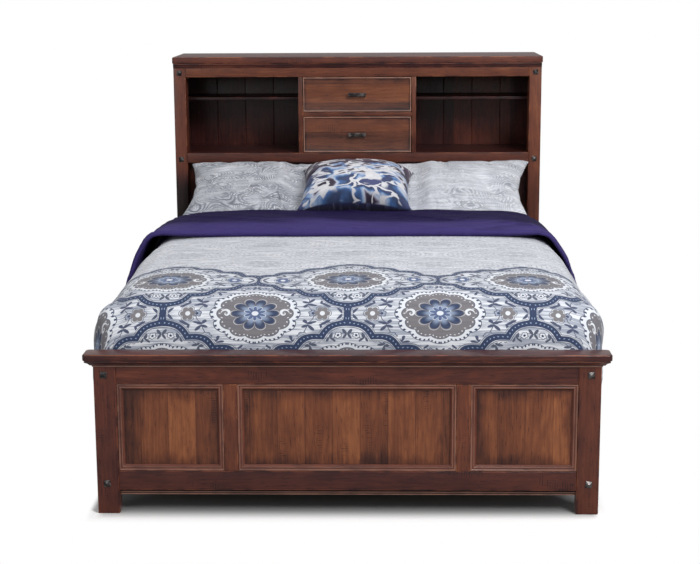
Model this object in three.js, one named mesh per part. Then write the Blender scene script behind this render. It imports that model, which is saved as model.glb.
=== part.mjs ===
// A made-up queen bed with a bookcase headboard: two drawers between open cubbies, a panelled
// footboard, side rails and slats, and on them a foundation, a mattress and the bedding.
// Millimetres, +Z up. X runs across the bed, -Y is its foot and +Y its head.
// The origin lies on the floor in the middle of the bed's footprint.
import * as THREE from "three";

// Fits
const touchGap = 0.3;
const drawerGap = 1.5;
const boardEase = 2;
const hiddenEase = 1;

// Mattress, foundation and the frame that carries them
const mattressWidth = 1524;
const mattressLength = 2032;
const mattressThickness = 260;
const mattressEdgeRadius = 70;
const mattressCornerRadius = 90;
const mattressSideGap = 22;
const mattressFootGap = 120;
const mattressHeadGap = 3;
const foundationThickness = 230;
const foundationEdgeRadius = 14;
const foundationCornerRadius = 60;
const slatTopHeight = 202;
const slatThickness = 20;
const slatWidth = 90;
const slatCount = 4;
const slatEndGap = 2;
const legWidth = 42;
const sideRailThickness = 28;
const sideRailHeight = 200;
const sideRailBottom = 140;
const sideRailSetIn = 26;
const ledgerWidth = 25;
const ledgerHeight = 32;

// Footboard
const footboardHeight = 554;
const footPostWidth = 74;
const footPostDepth = 48;
const footCrownThickness = 23;
const footCrownEase = 3;
const footCrownCornerCut = 9;
const footCrownFrontOverhang = 24;
const footCrownSideOverhang = 31;
const footCrownBackOverhang = 10;
const footMouldingHeight = 22;
const footMouldingFrontReach = 20;
const footMouldingSideReach = 25;
const footRailThickness = 28;
const footRailSetBack = 3;
const footTopRailHeight = 83;
const footBottomRailHeight = 66;
const footBottomRailBottom = 82;
const footStileWidth = 46;
const footCentrePanelWidth = 726;
const footPanelThickness = 12;
const footPanelSetBack = 13;
const footBaseStripHeight = 19;
const footBaseStripThickness = 14;
const footBaseStripSetBack = 12;
const panelBeadWidth = 21;

// Headboard
const headboardHeight = 1417;
const bookcaseDepth = 380;
const headPostWidth = 55;
const headPostDepth = 90;
const headSideThickness = 22;
const headBackThickness = 13;
const headBackOverhang = 4;
const headCrownThickness = 30;
const headCrownEase = 3;
const headCrownCornerCut = 6;
const headCrownFrontOverhang = 8;
const headCrownSideOverhang = 4;
const headMouldingHeight = 20;
const headMouldingReach = 7;
const headRailThickness = 26;
const headTopRailHeight = 61;
const headBottomRailHeight = 44;
const cubbyHeight = 347;
const bookcaseFloorThickness = 18;
const dividerThickness = 20;
const shelfThickness = 13;
const shelfSetBack = 120;
const shelfHeightInCubby = 234;
const lowerPanelThickness = 12;
const lowerPanelBottom = 120;
const backPlankWidth = 136;
const backGrooveWidth = 5;
const backGrooveDepth = 2.5;

// Drawers
const drawerOpeningWidth = 498;
const upperDrawerOpening = 161;
const drawerShelfThickness = 18;
const drawerFrontThickness = 20;
const drawerFrontSetBack = 1;
const drawerBeadWidth = 9;
const drawerBeadHeight = 2.5;
const drawerPanelRecess = 2;
const drawerBoxLength = 320;
const drawerBoxSideGap = 5;
const drawerBoxTopGap = 14;
const drawerBoxWall = 12;
const drawerBoxBottom = 8;
const pullWidth = 79;
const pullHeight = 17;
const pullReach = 25;
const pullBarThickness = 10;
const pullFootWidth = 14;
const pullEase = 2;

// Square pyramid nail heads on the posts
const nailWidth = 22;
const nailRim = 2;
const nailHeight = 8;
const nailTip = 2;
const footNailFromEdge = 34;
const footNailFromTop = 50;
const footNailAboveRailBottom = 23.5;
const headNailFromEdge = 27.5;
const headNailBelowCrown = 42;
const headNailAboveRailBottom = 16;
const nailTurns = { footTopLeft: 6, footTopRight: -4, footBottomLeft: -9, footBottomRight: 8 };
const headNailTurns = { topLeft: 12, topRight: -7, bottomLeft: -5, bottomRight: 10 };

// Comforter, and its head end turned back with the plain side up
const comforterLoft = 62;
const comforterSideThickness = 24;
const comforterFootClearance = 14;
const mattressBareLength = 493;
const comforterHemHeight = 387;
const comforterSpread = 140;
const comforterPressedSpread = 126;
const comforterPress = 7;
const comforterPressRun = 20;
const comforterFoldDepth = 9;
const comforterFoldLength = 410;
const comforterCornerPuff = 17;
const comforterFootSlope = 560;
const comforterFootDrop = 285;
const turnbackLength = 552;
const turnbackPastComforter = 60;
const turnbackLoft = 26;
const turnbackSideThickness = 13;
const turnbackSpread = 154;
const turnbackHemHeight = 480;
const turnbackRollDrop = 62;

// Pillows in their shams, and the throw cushion
const seamThickness = 3;
const shamWidth = 756;
const shamHeight = 442;
const shamCrown = 66;
const shamUnderCrown = 75;
const shamDrawIn = 20;
const shamSpacing = 772;
const shamTilt = 27.2;
const shamFootClearance = 5;
const shamGridSteps = [20, 12];
const cushionWidth = 508;
const cushionHeight = 350;
const cushionCrown = 110;
const cushionUnderCrown = 20;
const cushionDrawIn = 16;
const cushionTilt = 22;
const cushionTurn = -2;
const cushionFromTurnbackEnd = 42;
const cushionDentMargin = 12;
const cushionDentBlend = 80;
const cushionGridSteps = [18, 14];

// Heights that follow from the sizes above
const foundationBottom = slatTopHeight + touchGap;
const mattressBottom = foundationBottom + foundationThickness + touchGap;
const mattressTop = mattressBottom + mattressThickness;
const comforterTop = mattressTop + touchGap + comforterLoft;
const turnbackTop = comforterTop - comforterPress + touchGap + turnbackLoft;
const footCrownBottom = footboardHeight - footCrownThickness;
const footTopRailBottom = footCrownBottom - footTopRailHeight;
const footBottomRailTop = footBottomRailBottom + footBottomRailHeight;
const headCrownBottom = headboardHeight - headCrownThickness;
const headTopRailBottom = headCrownBottom - headTopRailHeight;
const headBottomRailTop = headTopRailBottom - cubbyHeight;
const headBottomRailBottom = headBottomRailTop - headBottomRailHeight;
const drawerShelfTop = headTopRailBottom - upperDrawerOpening;
const drawerShelfBottom = drawerShelfTop - drawerShelfThickness;

// Places across the bed, measured from its middle
const mattressHalf = mattressWidth / 2;
const sideRailInner = mattressHalf + mattressSideGap;
const sideRailOuter = sideRailInner + sideRailThickness;
const bedHalf = sideRailOuter + sideRailSetIn;
const footPostInner = bedHalf - footPostWidth;
const headPostInner = bedHalf - headPostWidth;
const headSideInner = bedHalf - headSideThickness;
const footStileInner = footCentrePanelWidth / 2;
const footStileOuter = footStileInner + footStileWidth;
const dividerInner = drawerOpeningWidth / 2;
const dividerOuter = dividerInner + dividerThickness;

// Places along the bed, measured from the front face of the footboard's posts
const footRailFront = footRailSetBack;
const footPanelFront = footRailFront + footPanelSetBack;
const footCrownBack = footPostDepth + footCrownBackOverhang;
const mattressFoot = footPostDepth + mattressFootGap;
const mattressHead = mattressFoot + mattressLength;
const lowerPanelFront = mattressHead + mattressHeadGap;
const headFront = lowerPanelFront - headPostDepth;
const headBack = headFront + bookcaseDepth;
const headBackPanelFront = headBack - headBackThickness;
const headRailBack = headFront + headRailThickness;
const comforterFoot = footCrownBack + comforterFootClearance;
const turnbackHead = mattressHead - mattressBareLength;
const comforterHead = turnbackHead - turnbackPastComforter;
const turnbackFoot = turnbackHead - turnbackLength;
const middleY = (headBack + headBackOverhang - footCrownFrontOverhang) / 2;

const finishes = {
  wood: { color: 0x6a3a28, roughness: 0.42, metalness: 0 },
  darkWood: { color: 0x3d211b, roughness: 0.55, metalness: 0 },
  plainWood: { color: 0xa98a66, roughness: 0.7, metalness: 0 },
  iron: { color: 0x2c2624, roughness: 0.45, metalness: 0.8 },
  ticking: { color: 0xe9e6df, roughness: 0.9, metalness: 0 },
  print: { color: 0xc9ced6, roughness: 0.9, metalness: 0 },
  purple: { color: 0x463a78, roughness: 0.6, metalness: 0 },
  blotch: { color: 0x3c4f86, roughness: 0.85, metalness: 0 },
};

const bed = new THREE.Group();
bed.name = "bed";
bed.position.y = -middleY;

// Adds one named piece to a group, with a material of its own.
function piece(name, geometry, finish, parent = bed) {
  const mesh = new THREE.Mesh(geometry, new THREE.MeshStandardMaterial(finishes[finish]));
  mesh.name = name;
  parent.add(mesh);
  return mesh;
}

// Geometry helpers

// A rectangle about the origin with its four corners cut off.
function cutRectangle(width, depth, cut) {
  const x = width / 2;
  const y = depth / 2;
  const corners = [
    [x - cut, -y], [x, cut - y], [x, y - cut], [x - cut, y],
    [cut - x, y], [-x, y - cut], [-x, cut - y], [cut - x, -y],
  ];
  return corners.map(([px, py]) => new THREE.Vector2(px, py));
}

// A board between low and high values on each axis, with all its edges eased.
function board(x, y, z, ease = boardEase, cornerCut = ease) {
  const outline = cutRectangle(x[1] - x[0], y[1] - y[0], cornerCut);
  return eased(new THREE.Shape(outline), z[1] - z[0], ease)
    .translate((x[0] + x[1]) / 2, (y[0] + y[1]) / 2, z[0]);
}

// A shape extruded from 0 up to a height, its two ends eased inwards.
function eased(shape, height, ease) {
  return new THREE.ExtrudeGeometry(shape, {
    depth: height - 2 * ease,
    bevelThickness: ease,
    bevelSize: ease,
    bevelOffset: -ease,
    bevelSegments: 1,
  }).translate(0, 0, ease);
}

// A closed solid from numbered points and triangles, its faces turned outwards.
function closedSolid(points, triangles) {
  const volume = triangles.reduce((sum, [a, b, c]) => {
    return sum + points[a].dot(new THREE.Vector3().crossVectors(points[b], points[c]));
  }, 0);
  const outward = volume < 0 ? triangles.map(([a, b, c]) => [a, c, b]) : triangles;
  const geometry = new THREE.BufferGeometry().setFromPoints(points);
  geometry.setIndex(outward.flat());
  geometry.computeVertexNormals();
  return geometry;
}

// The triangles of a strip between two rows of point numbers.
function strip(row, next, endless) {
  const triangles = [];
  const last = endless ? row.length : row.length - 1;
  for (let i = 0; i < last; i += 1) {
    const j = (i + 1) % row.length;
    triangles.push([row[i], row[j], next[j]], [row[i], next[j], next[i]]);
  }
  return triangles;
}

// Equal closed loops of points joined in turn. With an outline of the loop the two ends are
// closed by it, and without one the last loop joins the first.
function joinedLoops(loops, endOutline) {
  const points = loops.flat();
  const count = loops[0].length;
  const numbers = loops.map((loop, k) => loop.map((point, i) => k * count + i));
  const triangles = [];
  const joins = endOutline ? loops.length - 1 : loops.length;
  for (let k = 0; k < joins; k += 1) {
    triangles.push(...strip(numbers[k], numbers[(k + 1) % loops.length], true));
  }
  if (endOutline) {
    const faces = THREE.ShapeUtils.triangulateShape(endOutline, []);
    const top = (loops.length - 1) * count;
    const downward = !THREE.ShapeUtils.isClockWise(endOutline);
    faces.forEach(([a, b, c]) => {
      triangles.push(downward ? [a, c, b] : [a, b, c]);
      triangles.push(downward ? [top + a, top + b, top + c] : [top + a, top + c, top + b]);
    });
  }
  return closedSolid(points, triangles);
}

// Two equal grids of points closed along their borders: a sheet's upper and lower faces.
function closedSheet(upper, lower) {
  const rows = upper.length;
  const columns = upper[0].length;
  const number = (side, i, j) => side * rows * columns + i * columns + j;
  const grid = [0, 1].map((side) => {
    return upper.map((row, i) => row.map((point, j) => number(side, i, j)));
  });
  const triangles = [];
  for (let i = 0; i + 1 < rows; i += 1) {
    triangles.push(...strip(grid[0][i], grid[0][i + 1], false));
    triangles.push(...strip(grid[1][i + 1], grid[1][i], false));
  }
  const firstColumn = (side) => grid[side].map((row) => row[0]);
  const lastColumn = (side) => grid[side].map((row) => row[columns - 1]);
  triangles.push(...strip(grid[1][0], grid[0][0], false));
  triangles.push(...strip(grid[0][rows - 1], grid[1][rows - 1], false));
  triangles.push(...strip(firstColumn(0), firstColumn(1), false));
  triangles.push(...strip(lastColumn(1), lastColumn(0), false));
  return closedSolid([...upper.flat(), ...lower.flat()], triangles);
}

// A rounded rectangle about the origin, with four steps to a corner.
function roundedRectangle(width, depth, radius) {
  const cornerSteps = 4;
  const signs = [[1, 1], [-1, 1], [-1, -1], [1, -1]];
  const outline = [];
  signs.forEach(([sx, sy], corner) => {
    for (let i = 0; i <= cornerSteps; i += 1) {
      const angle = (corner + i / cornerSteps) * Math.PI / 2;
      outline.push(new THREE.Vector2(
        sx * (width / 2 - radius) + radius * Math.cos(angle),
        sy * (depth / 2 - radius) + radius * Math.sin(angle),
      ));
    }
  });
  return outline;
}

// A block with rounded corners and rounded upper and lower edges.
function roundedBlock(width, depth, height, cornerRadius, edgeRadius) {
  const edgeSteps = 4;
  const rounds = [];
  for (let i = 0; i <= edgeSteps; i += 1) {
    const angle = i / edgeSteps * Math.PI / 2;
    rounds.push([edgeRadius * (1 - Math.sin(angle)), edgeRadius * (1 - Math.cos(angle))]);
  }
  const levels = [
    ...rounds,
    ...rounds.slice().reverse().map(([inset, rise]) => [inset, height - rise]),
  ];
  const loops = levels.map(([inset, z]) => {
    const outline = roundedRectangle(width - 2 * inset, depth - 2 * inset, cornerRadius - inset);
    return outline.map((point) => new THREE.Vector3(point.x, point.y, z));
  });
  return joinedLoops(loops, roundedRectangle(width, depth, cornerRadius));
}

// The four corners of a rectangle in the XZ plane, drawn in by an inset, at a place along Y.
function uprightRectangle(x, z, inset, y) {
  return [
    new THREE.Vector3(x[0] + inset, y, z[0] + inset),
    new THREE.Vector3(x[1] - inset, y, z[0] + inset),
    new THREE.Vector3(x[1] - inset, y, z[1] - inset),
    new THREE.Vector3(x[0] + inset, y, z[1] - inset),
  ];
}

const unitSquare = [[0, 0], [1, 0], [1, 1], [0, 1]].map(([x, y]) => new THREE.Vector2(x, y));

// The value at a place in a table of [place, value] rows, straight between its rows.
function tableValue(table, place) {
  const next = table.findIndex(([at]) => at >= place);
  if (next === 0) return table[0][1];
  if (next < 0) return table[table.length - 1][1];
  const [fromPlace, from] = table[next - 1];
  const [toPlace, to] = table[next];
  return THREE.MathUtils.mapLinear(place, fromPlace, toPlace, from, to);
}

// Nail heads

function nailHead() {
  const outline = [-1, 1].map((side) => side * nailWidth / 2);
  const tipInset = (nailWidth - nailTip) / 2;
  const loops = [
    uprightRectangle(outline, outline, 0, 0),
    uprightRectangle(outline, outline, 0, -nailRim),
    uprightRectangle(outline, outline, tipInset, -nailHeight),
  ];
  return joinedLoops(loops, unitSquare);
}

function addNail(name, x, faceY, z, turn) {
  const nail = piece(name, nailHead(), "iron");
  nail.position.set(x, faceY - touchGap, z);
  nail.rotation.y = THREE.MathUtils.degToRad(turn);
}

// Footboard

function addFootboard() {
  const railY = [footRailFront, footRailFront + footRailThickness];
  const underCrown = footCrownBottom - touchGap;
  const postInner = footPostInner - touchGap;
  for (const [side, sign] of [["left", -1], ["right", 1]]) {
    const across = [sign * footPostInner, sign * bedHalf].sort((a, b) => a - b);
    piece(`footboard_${side}_post`, board(across, [0, footPostDepth], [0, underCrown]), "wood");
    const stile = [sign * footStileInner, sign * footStileOuter].sort((a, b) => a - b);
    const stileZ = [footBottomRailTop + touchGap, footTopRailBottom - touchGap];
    piece(`footboard_${side}_stile`, board(stile, railY, stileZ, hiddenEase), "wood");
  }
  piece(
    "footboard_top_rail",
    board([-postInner, postInner], railY, [footTopRailBottom, underCrown], hiddenEase),
    "wood",
  );
  piece(
    "footboard_bottom_rail",
    board([-postInner, postInner], railY, [footBottomRailBottom, footBottomRailTop], hiddenEase),
    "wood",
  );
  const stripFront = footRailFront + footBaseStripSetBack;
  const stripTop = footBottomRailBottom - touchGap;
  piece(
    "footboard_base_strip",
    board(
      [-postInner, postInner],
      [stripFront, stripFront + footBaseStripThickness],
      [stripTop - footBaseStripHeight, stripTop],
      hiddenEase,
    ),
    "darkWood",
  );
  piece("footboard_crown", footCrown(), "wood");
  piece("footboard_crown_moulding", footCrownMoulding(), "wood");
  addFootPanel("left", [-footPostInner, -footStileOuter]);
  addFootPanel("centre", [-footStileInner, footStileInner]);
  addFootPanel("right", [footStileOuter, footPostInner]);
  addFootNails();
}

function footCrown() {
  const x = bedHalf + footCrownSideOverhang;
  return board(
    [-x, x],
    [-footCrownFrontOverhang, footCrownBack],
    [footCrownBottom, footboardHeight],
    footCrownEase,
    footCrownCornerCut,
  );
}

// A cove moulding under the crown, along the front and round both ends.
function footCrownMoulding() {
  const coveShares = [
    [0, 0], [1, 0], [1, 0.18], [0.88, 0.24], [0.64, 0.38], [0.46, 0.56], [0.38, 0.7], [0.12, 0.78],
    [0.08, 1], [0, 1],
  ];
  const postFace = bedHalf + touchGap;
  const frontFace = -touchGap;
  const top = footCrownBottom - touchGap;
  const back = footPostDepth;
  const stations = [
    { x: -postFace, y: back, outX: -footMouldingSideReach, outY: 0 },
    { x: -postFace, y: frontFace, outX: -footMouldingSideReach, outY: -footMouldingFrontReach },
    { x: postFace, y: frontFace, outX: footMouldingSideReach, outY: -footMouldingFrontReach },
    { x: postFace, y: back, outX: footMouldingSideReach, outY: 0 },
  ];
  const loops = stations.map(({ x, y, outX, outY }) => coveShares.map(([out, down]) => {
    return new THREE.Vector3(x + outX * out, y + outY * out, top - footMouldingHeight * down);
  }));
  return joinedLoops(loops, coveShares.map(([out, down]) => new THREE.Vector2(out, -down)));
}

// One panel between the rails, and the double bead that frames it.
function addFootPanel(side, x) {
  const width = [x[0] + touchGap, x[1] - touchGap];
  const height = [footBottomRailTop + touchGap, footTopRailBottom - touchGap];
  const panelY = [footPanelFront, footPanelFront + footPanelThickness];
  piece(`footboard_${side}_panel`, board(width, panelY, height, hiddenEase), "wood");
  // Shares of the bead's width inwards, and of the panel's set-back below the rails' face.
  const beadShares = [
    [0, 1], [0, 0.26], [0.06, 0.17], [0.14, 0.13], [0.24, 0.17], [0.32, 0.32], [0.4, 0.4],
    [0.48, 0.32], [0.57, 0.23], [0.67, 0.26], [0.77, 0.42], [0.87, 0.7], [1, 0.9], [1, 1],
  ];
  const loops = beadShares.map(([inwards, depth]) => uprightRectangle(
    width,
    height,
    panelBeadWidth * inwards,
    footRailFront + (footPanelSetBack - touchGap) * depth,
  ));
  piece(`footboard_${side}_panel_bead`, joinedLoops(loops), "wood");
}

function addFootNails() {
  const x = bedHalf - footNailFromEdge;
  const top = footCrownBottom - footNailFromTop;
  const bottom = footBottomRailBottom + footNailAboveRailBottom;
  addNail("footboard_nail_top_left", -x, 0, top, nailTurns.footTopLeft);
  addNail("footboard_nail_top_right", x, 0, top, nailTurns.footTopRight);
  addNail("footboard_nail_bottom_left", -x, 0, bottom, nailTurns.footBottomLeft);
  addNail("footboard_nail_bottom_right", x, 0, bottom, nailTurns.footBottomRight);
}

// Headboard

function addHeadboard() {
  const underCrown = headCrownBottom - touchGap;
  const postBack = headFront + headPostDepth;
  for (const [side, sign] of [["left", -1], ["right", 1]]) {
    const post = [sign * headPostInner, sign * bedHalf].sort((a, b) => a - b);
    piece(`headboard_${side}_post`, board(post, [headFront, postBack], [0, underCrown]), "wood");
    const panel = [sign * headSideInner, sign * bedHalf].sort((a, b) => a - b);
    const panelY = [postBack + touchGap, headBack];
    piece(`headboard_${side}_side`, board(panel, panelY, [0, underCrown], hiddenEase), "wood");
    const divider = bookcaseDivider().translate(sign * (dividerInner + dividerOuter) / 2, 0, 0);
    piece(`bookcase_${side}_divider`, divider, "wood");
    piece(`bookcase_${side}_shelf`, cubbyShelf(sign), "darkWood");
  }
  addHeadRails(underCrown);
  addBookcasePanels(underCrown);
  addHeadNails();
}

function addHeadRails(underCrown) {
  const between = [touchGap - headPostInner, headPostInner - touchGap];
  const railY = [headFront, headRailBack];
  const topZ = [headTopRailBottom, underCrown];
  const bottomZ = [headBottomRailBottom, headBottomRailTop];
  piece("headboard_top_rail", board(between, railY, topZ, hiddenEase), "wood");
  piece("headboard_bottom_rail", board(between, railY, bottomZ, hiddenEase), "wood");
  const crownX = bedHalf + headCrownSideOverhang;
  const crownY = [headFront - headCrownFrontOverhang, headBack + headBackOverhang];
  const crownZ = [headCrownBottom, headboardHeight];
  const crown = board([-crownX, crownX], crownY, crownZ, headCrownEase, headCrownCornerCut);
  piece("headboard_crown", crown, "wood");
  piece("headboard_crown_moulding", headCrownMoulding(underCrown), "wood");
}

// A small cove under the front of the crown.
function headCrownMoulding(top) {
  const coveShares = [
    [0, 0], [1, 0], [1, 0.22], [0.7, 0.34], [0.5, 0.55], [0.36, 0.8], [0.24, 1], [0, 1],
  ];
  const back = headFront - touchGap;
  const loops = [-bedHalf, bedHalf].map((x) => coveShares.map(([out, down]) => {
    return new THREE.Vector3(x, back - headMouldingReach * out, top - headMouldingHeight * down);
  }));
  return joinedLoops(loops, coveShares.map(([out, down]) => new THREE.Vector2(out, -down)));
}

// A divider, notched at its front top corner for the top rail.
function bookcaseDivider() {
  const low = headBottomRailTop + touchGap;
  const notchTop = headTopRailBottom - touchGap;
  const high = headCrownBottom - touchGap;
  const back = headBackPanelFront - touchGap;
  const notchBack = headRailBack + touchGap;
  const outline = [
    [headFront, low], [back, low], [back, high], [notchBack, high], [notchBack, notchTop],
    [headFront, notchTop],
  ];
  const shape = new THREE.Shape(outline.map(([y, z]) => new THREE.Vector2(y, z)));
  const upright = new THREE.Matrix4().makeBasis(
    new THREE.Vector3(0, 1, 0),
    new THREE.Vector3(0, 0, 1),
    new THREE.Vector3(1, 0, 0),
  );
  return eased(shape, dividerThickness, hiddenEase)
    .translate(0, 0, -dividerThickness / 2)
    .applyMatrix4(upright);
}

function cubbyShelf(sign) {
  const across = [sign * (dividerOuter + touchGap), sign * (headSideInner - touchGap)];
  const bottom = headBottomRailTop + shelfHeightInCubby;
  return board(
    across.sort((a, b) => a - b),
    [headFront + shelfSetBack, headBackPanelFront - touchGap],
    [bottom, bottom + shelfThickness],
    hiddenEase,
  );
}

function addBookcasePanels(underCrown) {
  const inside = headSideInner - touchGap;
  const back = headBackPanelFront - touchGap;
  const shelfX = dividerInner - touchGap;
  piece("bookcase_floor", bookcaseFloor(inside, back), "wood");
  piece(
    "drawer_shelf",
    board([-shelfX, shelfX], [headFront, back], [drawerShelfBottom, drawerShelfTop], hiddenEase),
    "wood",
  );
  piece("bookcase_back", bookcaseBack(inside, underCrown), "darkWood");
  piece(
    "headboard_lower_panel",
    board(
      [-inside, inside],
      [lowerPanelFront + touchGap, lowerPanelFront + touchGap + lowerPanelThickness],
      [lowerPanelBottom, headBottomRailTop - bookcaseFloorThickness - touchGap],
      hiddenEase,
    ),
    "wood",
  );
}

// The bookcase's floor, notched at its two front corners for the posts.
function bookcaseFloor(inside, back) {
  const between = headPostInner - touchGap;
  const postBack = headFront + headPostDepth + touchGap;
  const front = headRailBack + touchGap;
  const outline = [
    [-between, front], [between, front], [between, postBack], [inside, postBack], [inside, back],
    [-inside, back], [-inside, postBack], [-between, postBack],
  ];
  const shape = new THREE.Shape(outline.map(([x, y]) => new THREE.Vector2(x, y)));
  return eased(shape, bookcaseFloorThickness, hiddenEase)
    .translate(0, 0, headBottomRailTop - bookcaseFloorThickness);
}

// The back panel, its planks marked by shallow grooves on the side that shows.
function bookcaseBack(inside, top) {
  const bottom = headBottomRailBottom;
  const plankCount = Math.round(2 * inside / backPlankWidth);
  const outline = [[-inside, headBack], [-inside, headBackPanelFront]];
  for (let i = 1; i < plankCount; i += 1) {
    const seam = -inside + 2 * inside * i / plankCount;
    outline.push([seam - backGrooveWidth / 2, headBackPanelFront]);
    outline.push([seam, headBackPanelFront + backGrooveDepth]);
    outline.push([seam + backGrooveWidth / 2, headBackPanelFront]);
  }
  outline.push([inside, headBackPanelFront], [inside, headBack]);
  const shape = new THREE.Shape(outline.map(([x, y]) => new THREE.Vector2(x, y)));
  const height = top - bottom;
  return new THREE.ExtrudeGeometry(shape, { depth: height, bevelEnabled: false })
    .translate(0, 0, bottom);
}

function addHeadNails() {
  const x = bedHalf - headNailFromEdge;
  const top = headCrownBottom - headNailBelowCrown;
  const bottom = headBottomRailBottom + headNailAboveRailBottom;
  addNail("headboard_nail_top_left", -x, headFront, top, headNailTurns.topLeft);
  addNail("headboard_nail_top_right", x, headFront, top, headNailTurns.topRight);
  addNail("headboard_nail_bottom_left", -x, headFront, bottom, headNailTurns.bottomLeft);
  addNail("headboard_nail_bottom_right", x, headFront, bottom, headNailTurns.bottomRight);
}

// Drawers

function addDrawer(name, opening) {
  const drawer = new THREE.Group();
  const floor = opening[0] + touchGap;
  const frontX = dividerInner - drawerGap;
  const frontY = headFront + drawerFrontSetBack;
  const front = {
    x: [-frontX, frontX],
    z: [opening[0] + drawerGap, opening[1] - drawerGap],
    y: [frontY, frontY + drawerFrontThickness],
  };
  piece(`${name}_front`, drawerFront(front), "wood", drawer);
  const boxFront = front.y[1] + touchGap;
  const boxX = dividerInner - drawerBoxSideGap;
  const boxY = [boxFront, boxFront + drawerBoxLength];
  const boxZ = [floor, opening[1] - drawerBoxTopGap];
  piece(`${name}_box`, openBox([-boxX, boxX], boxY, boxZ), "plainWood", drawer);
  const pull = piece(`${name}_pull`, drawerPull(), "iron", drawer);
  pull.position.y = frontY + drawerPanelRecess - touchGap;
  pull.position.z = (front.z[0] + front.z[1]) / 2;
  bed.add(drawer);
}

// A drawer front: a raised bead round its edge and a flat field a little below it.
function drawerFront({ x, y, z }) {
  const crest = y[0] - drawerBeadHeight;
  const field = y[0] + drawerPanelRecess;
  const ring = (inwardShare, place) => uprightRectangle(x, z, drawerBeadWidth * inwardShare, place);
  const loops = [
    ring(0, y[1]),
    ring(0, y[0]),
    ring(0.25, crest),
    ring(0.6, crest),
    ring(0.85, y[0]),
    ring(1, field),
  ];
  return joinedLoops(loops, unitSquare);
}

// A box with four walls and a bottom, open at the top.
function openBox(x, y, z) {
  const level = (inset, height) => [
    new THREE.Vector3(x[0] + inset, y[0] + inset, height),
    new THREE.Vector3(x[1] - inset, y[0] + inset, height),
    new THREE.Vector3(x[1] - inset, y[1] - inset, height),
    new THREE.Vector3(x[0] + inset, y[1] - inset, height),
  ];
  const loops = [
    level(0, z[0]),
    level(0, z[1]),
    level(drawerBoxWall, z[1]),
    level(drawerBoxWall, z[0] + drawerBoxBottom),
  ];
  return joinedLoops(loops, unitSquare);
}

// A square bar on two feet, its back faces at Y = 0 and its middle at Z = 0.
function drawerPull() {
  const x = pullWidth / 2;
  const inner = x - pullFootWidth;
  const bar = pullBarThickness - pullReach;
  const outline = [
    [-x, 0], [-x, -pullReach], [x, -pullReach], [x, 0], [inner, 0], [inner, bar], [-inner, bar],
    [-inner, 0],
  ];
  const shape = new THREE.Shape(outline.map(([px, py]) => new THREE.Vector2(px, py)));
  return eased(shape, pullHeight, pullEase).translate(0, 0, -pullHeight / 2);
}

function addDrawers() {
  addDrawer("upper_drawer", [drawerShelfTop, headTopRailBottom]);
  addDrawer("lower_drawer", [headBottomRailTop, drawerShelfBottom]);
}

// Side rails, slats and centre legs

// A side rail with the ledger that is glued to its inner face, on the right side of the bed.
function sideRail() {
  const ledgerTop = slatTopHeight - slatThickness - touchGap;
  const ledgerBottom = ledgerTop - ledgerHeight;
  const top = sideRailBottom + sideRailHeight;
  const ledgerInner = sideRailInner - ledgerWidth;
  const outline = [
    [sideRailInner, sideRailBottom], [sideRailOuter, sideRailBottom], [sideRailOuter, top],
    [sideRailInner, top], [sideRailInner, ledgerTop], [ledgerInner, ledgerTop],
    [ledgerInner, ledgerBottom], [sideRailInner, ledgerBottom],
  ];
  const shape = new THREE.Shape(outline.map(([x, z]) => new THREE.Vector2(x, z)));
  const front = footPostDepth + touchGap;
  const back = headFront - touchGap;
  return eased(shape, back - front, hiddenEase).rotateX(Math.PI / 2).translate(0, back, 0);
}

function addBase() {
  const turnedRail = sideRail().rotateZ(Math.PI).translate(0, footPostDepth + headFront, 0);
  piece("right_side_rail", sideRail(), "wood");
  piece("left_side_rail", turnedRail, "wood");
  const slatX = sideRailInner - slatEndGap;
  const spacing = (headFront - footPostDepth) / slatCount;
  const slatZ = [slatTopHeight - slatThickness, slatTopHeight];
  for (let i = 0; i < slatCount; i += 1) {
    const middle = footPostDepth + spacing * (i + 1 / 2);
    const y = [middle - slatWidth / 2, middle + slatWidth / 2];
    piece(`slat_${i + 1}`, board([-slatX, slatX], y, slatZ, hiddenEase), "plainWood");
  }
  for (const [end, slat] of [["foot", 1], ["head", 2]]) {
    const middle = footPostDepth + spacing * (slat + 1 / 2);
    const half = legWidth / 2;
    const top = slatZ[0] - touchGap;
    const leg = board([-half, half], [middle - half, middle + half], [0, top], hiddenEase);
    piece(`centre_leg_${end}`, leg, "plainWood");
  }
}

// Mattress and foundation

function addMattress() {
  const middle = (mattressFoot + mattressHead) / 2;
  const foundation = piece(
    "foundation",
    roundedBlock(
      mattressWidth,
      mattressLength,
      foundationThickness,
      foundationCornerRadius,
      foundationEdgeRadius,
    ),
    "ticking",
  );
  foundation.position.set(0, middle, foundationBottom);
  const mattress = piece(
    "mattress",
    roundedBlock(
      mattressWidth,
      mattressLength,
      mattressThickness,
      mattressCornerRadius,
      mattressEdgeRadius,
    ),
    "ticking",
  );
  mattress.position.set(0, middle, mattressBottom);
}

// Draped cloth

// The lower face of a sheet: each point of the upper face moved inwards by its thickness.
function innerFace(grid, thickness) {
  const rows = grid.length;
  const columns = grid[0].length;
  const at = (i, j) => {
    return grid[THREE.MathUtils.clamp(i, 0, rows - 1)][THREE.MathUtils.clamp(j, 0, columns - 1)];
  };
  return grid.map((row, i) => row.map((point, j) => {
    const across = new THREE.Vector3().subVectors(at(i, j + 1), at(i, j - 1));
    const along = new THREE.Vector3().subVectors(at(i + 1, j), at(i - 1, j));
    const inward = along.cross(across).normalize();
    return point.clone().addScaledVector(inward, thickness(i, j));
  }));
}

// Both halves of a cross-section, from the left hem over the bed to the right hem.
function bothSides(half) {
  const left = half.slice(1).reverse().map((column) => ({ ...column, side: -1 }));
  return [...left, ...half.map((column) => ({ ...column, side: 1 }))];
}

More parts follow.
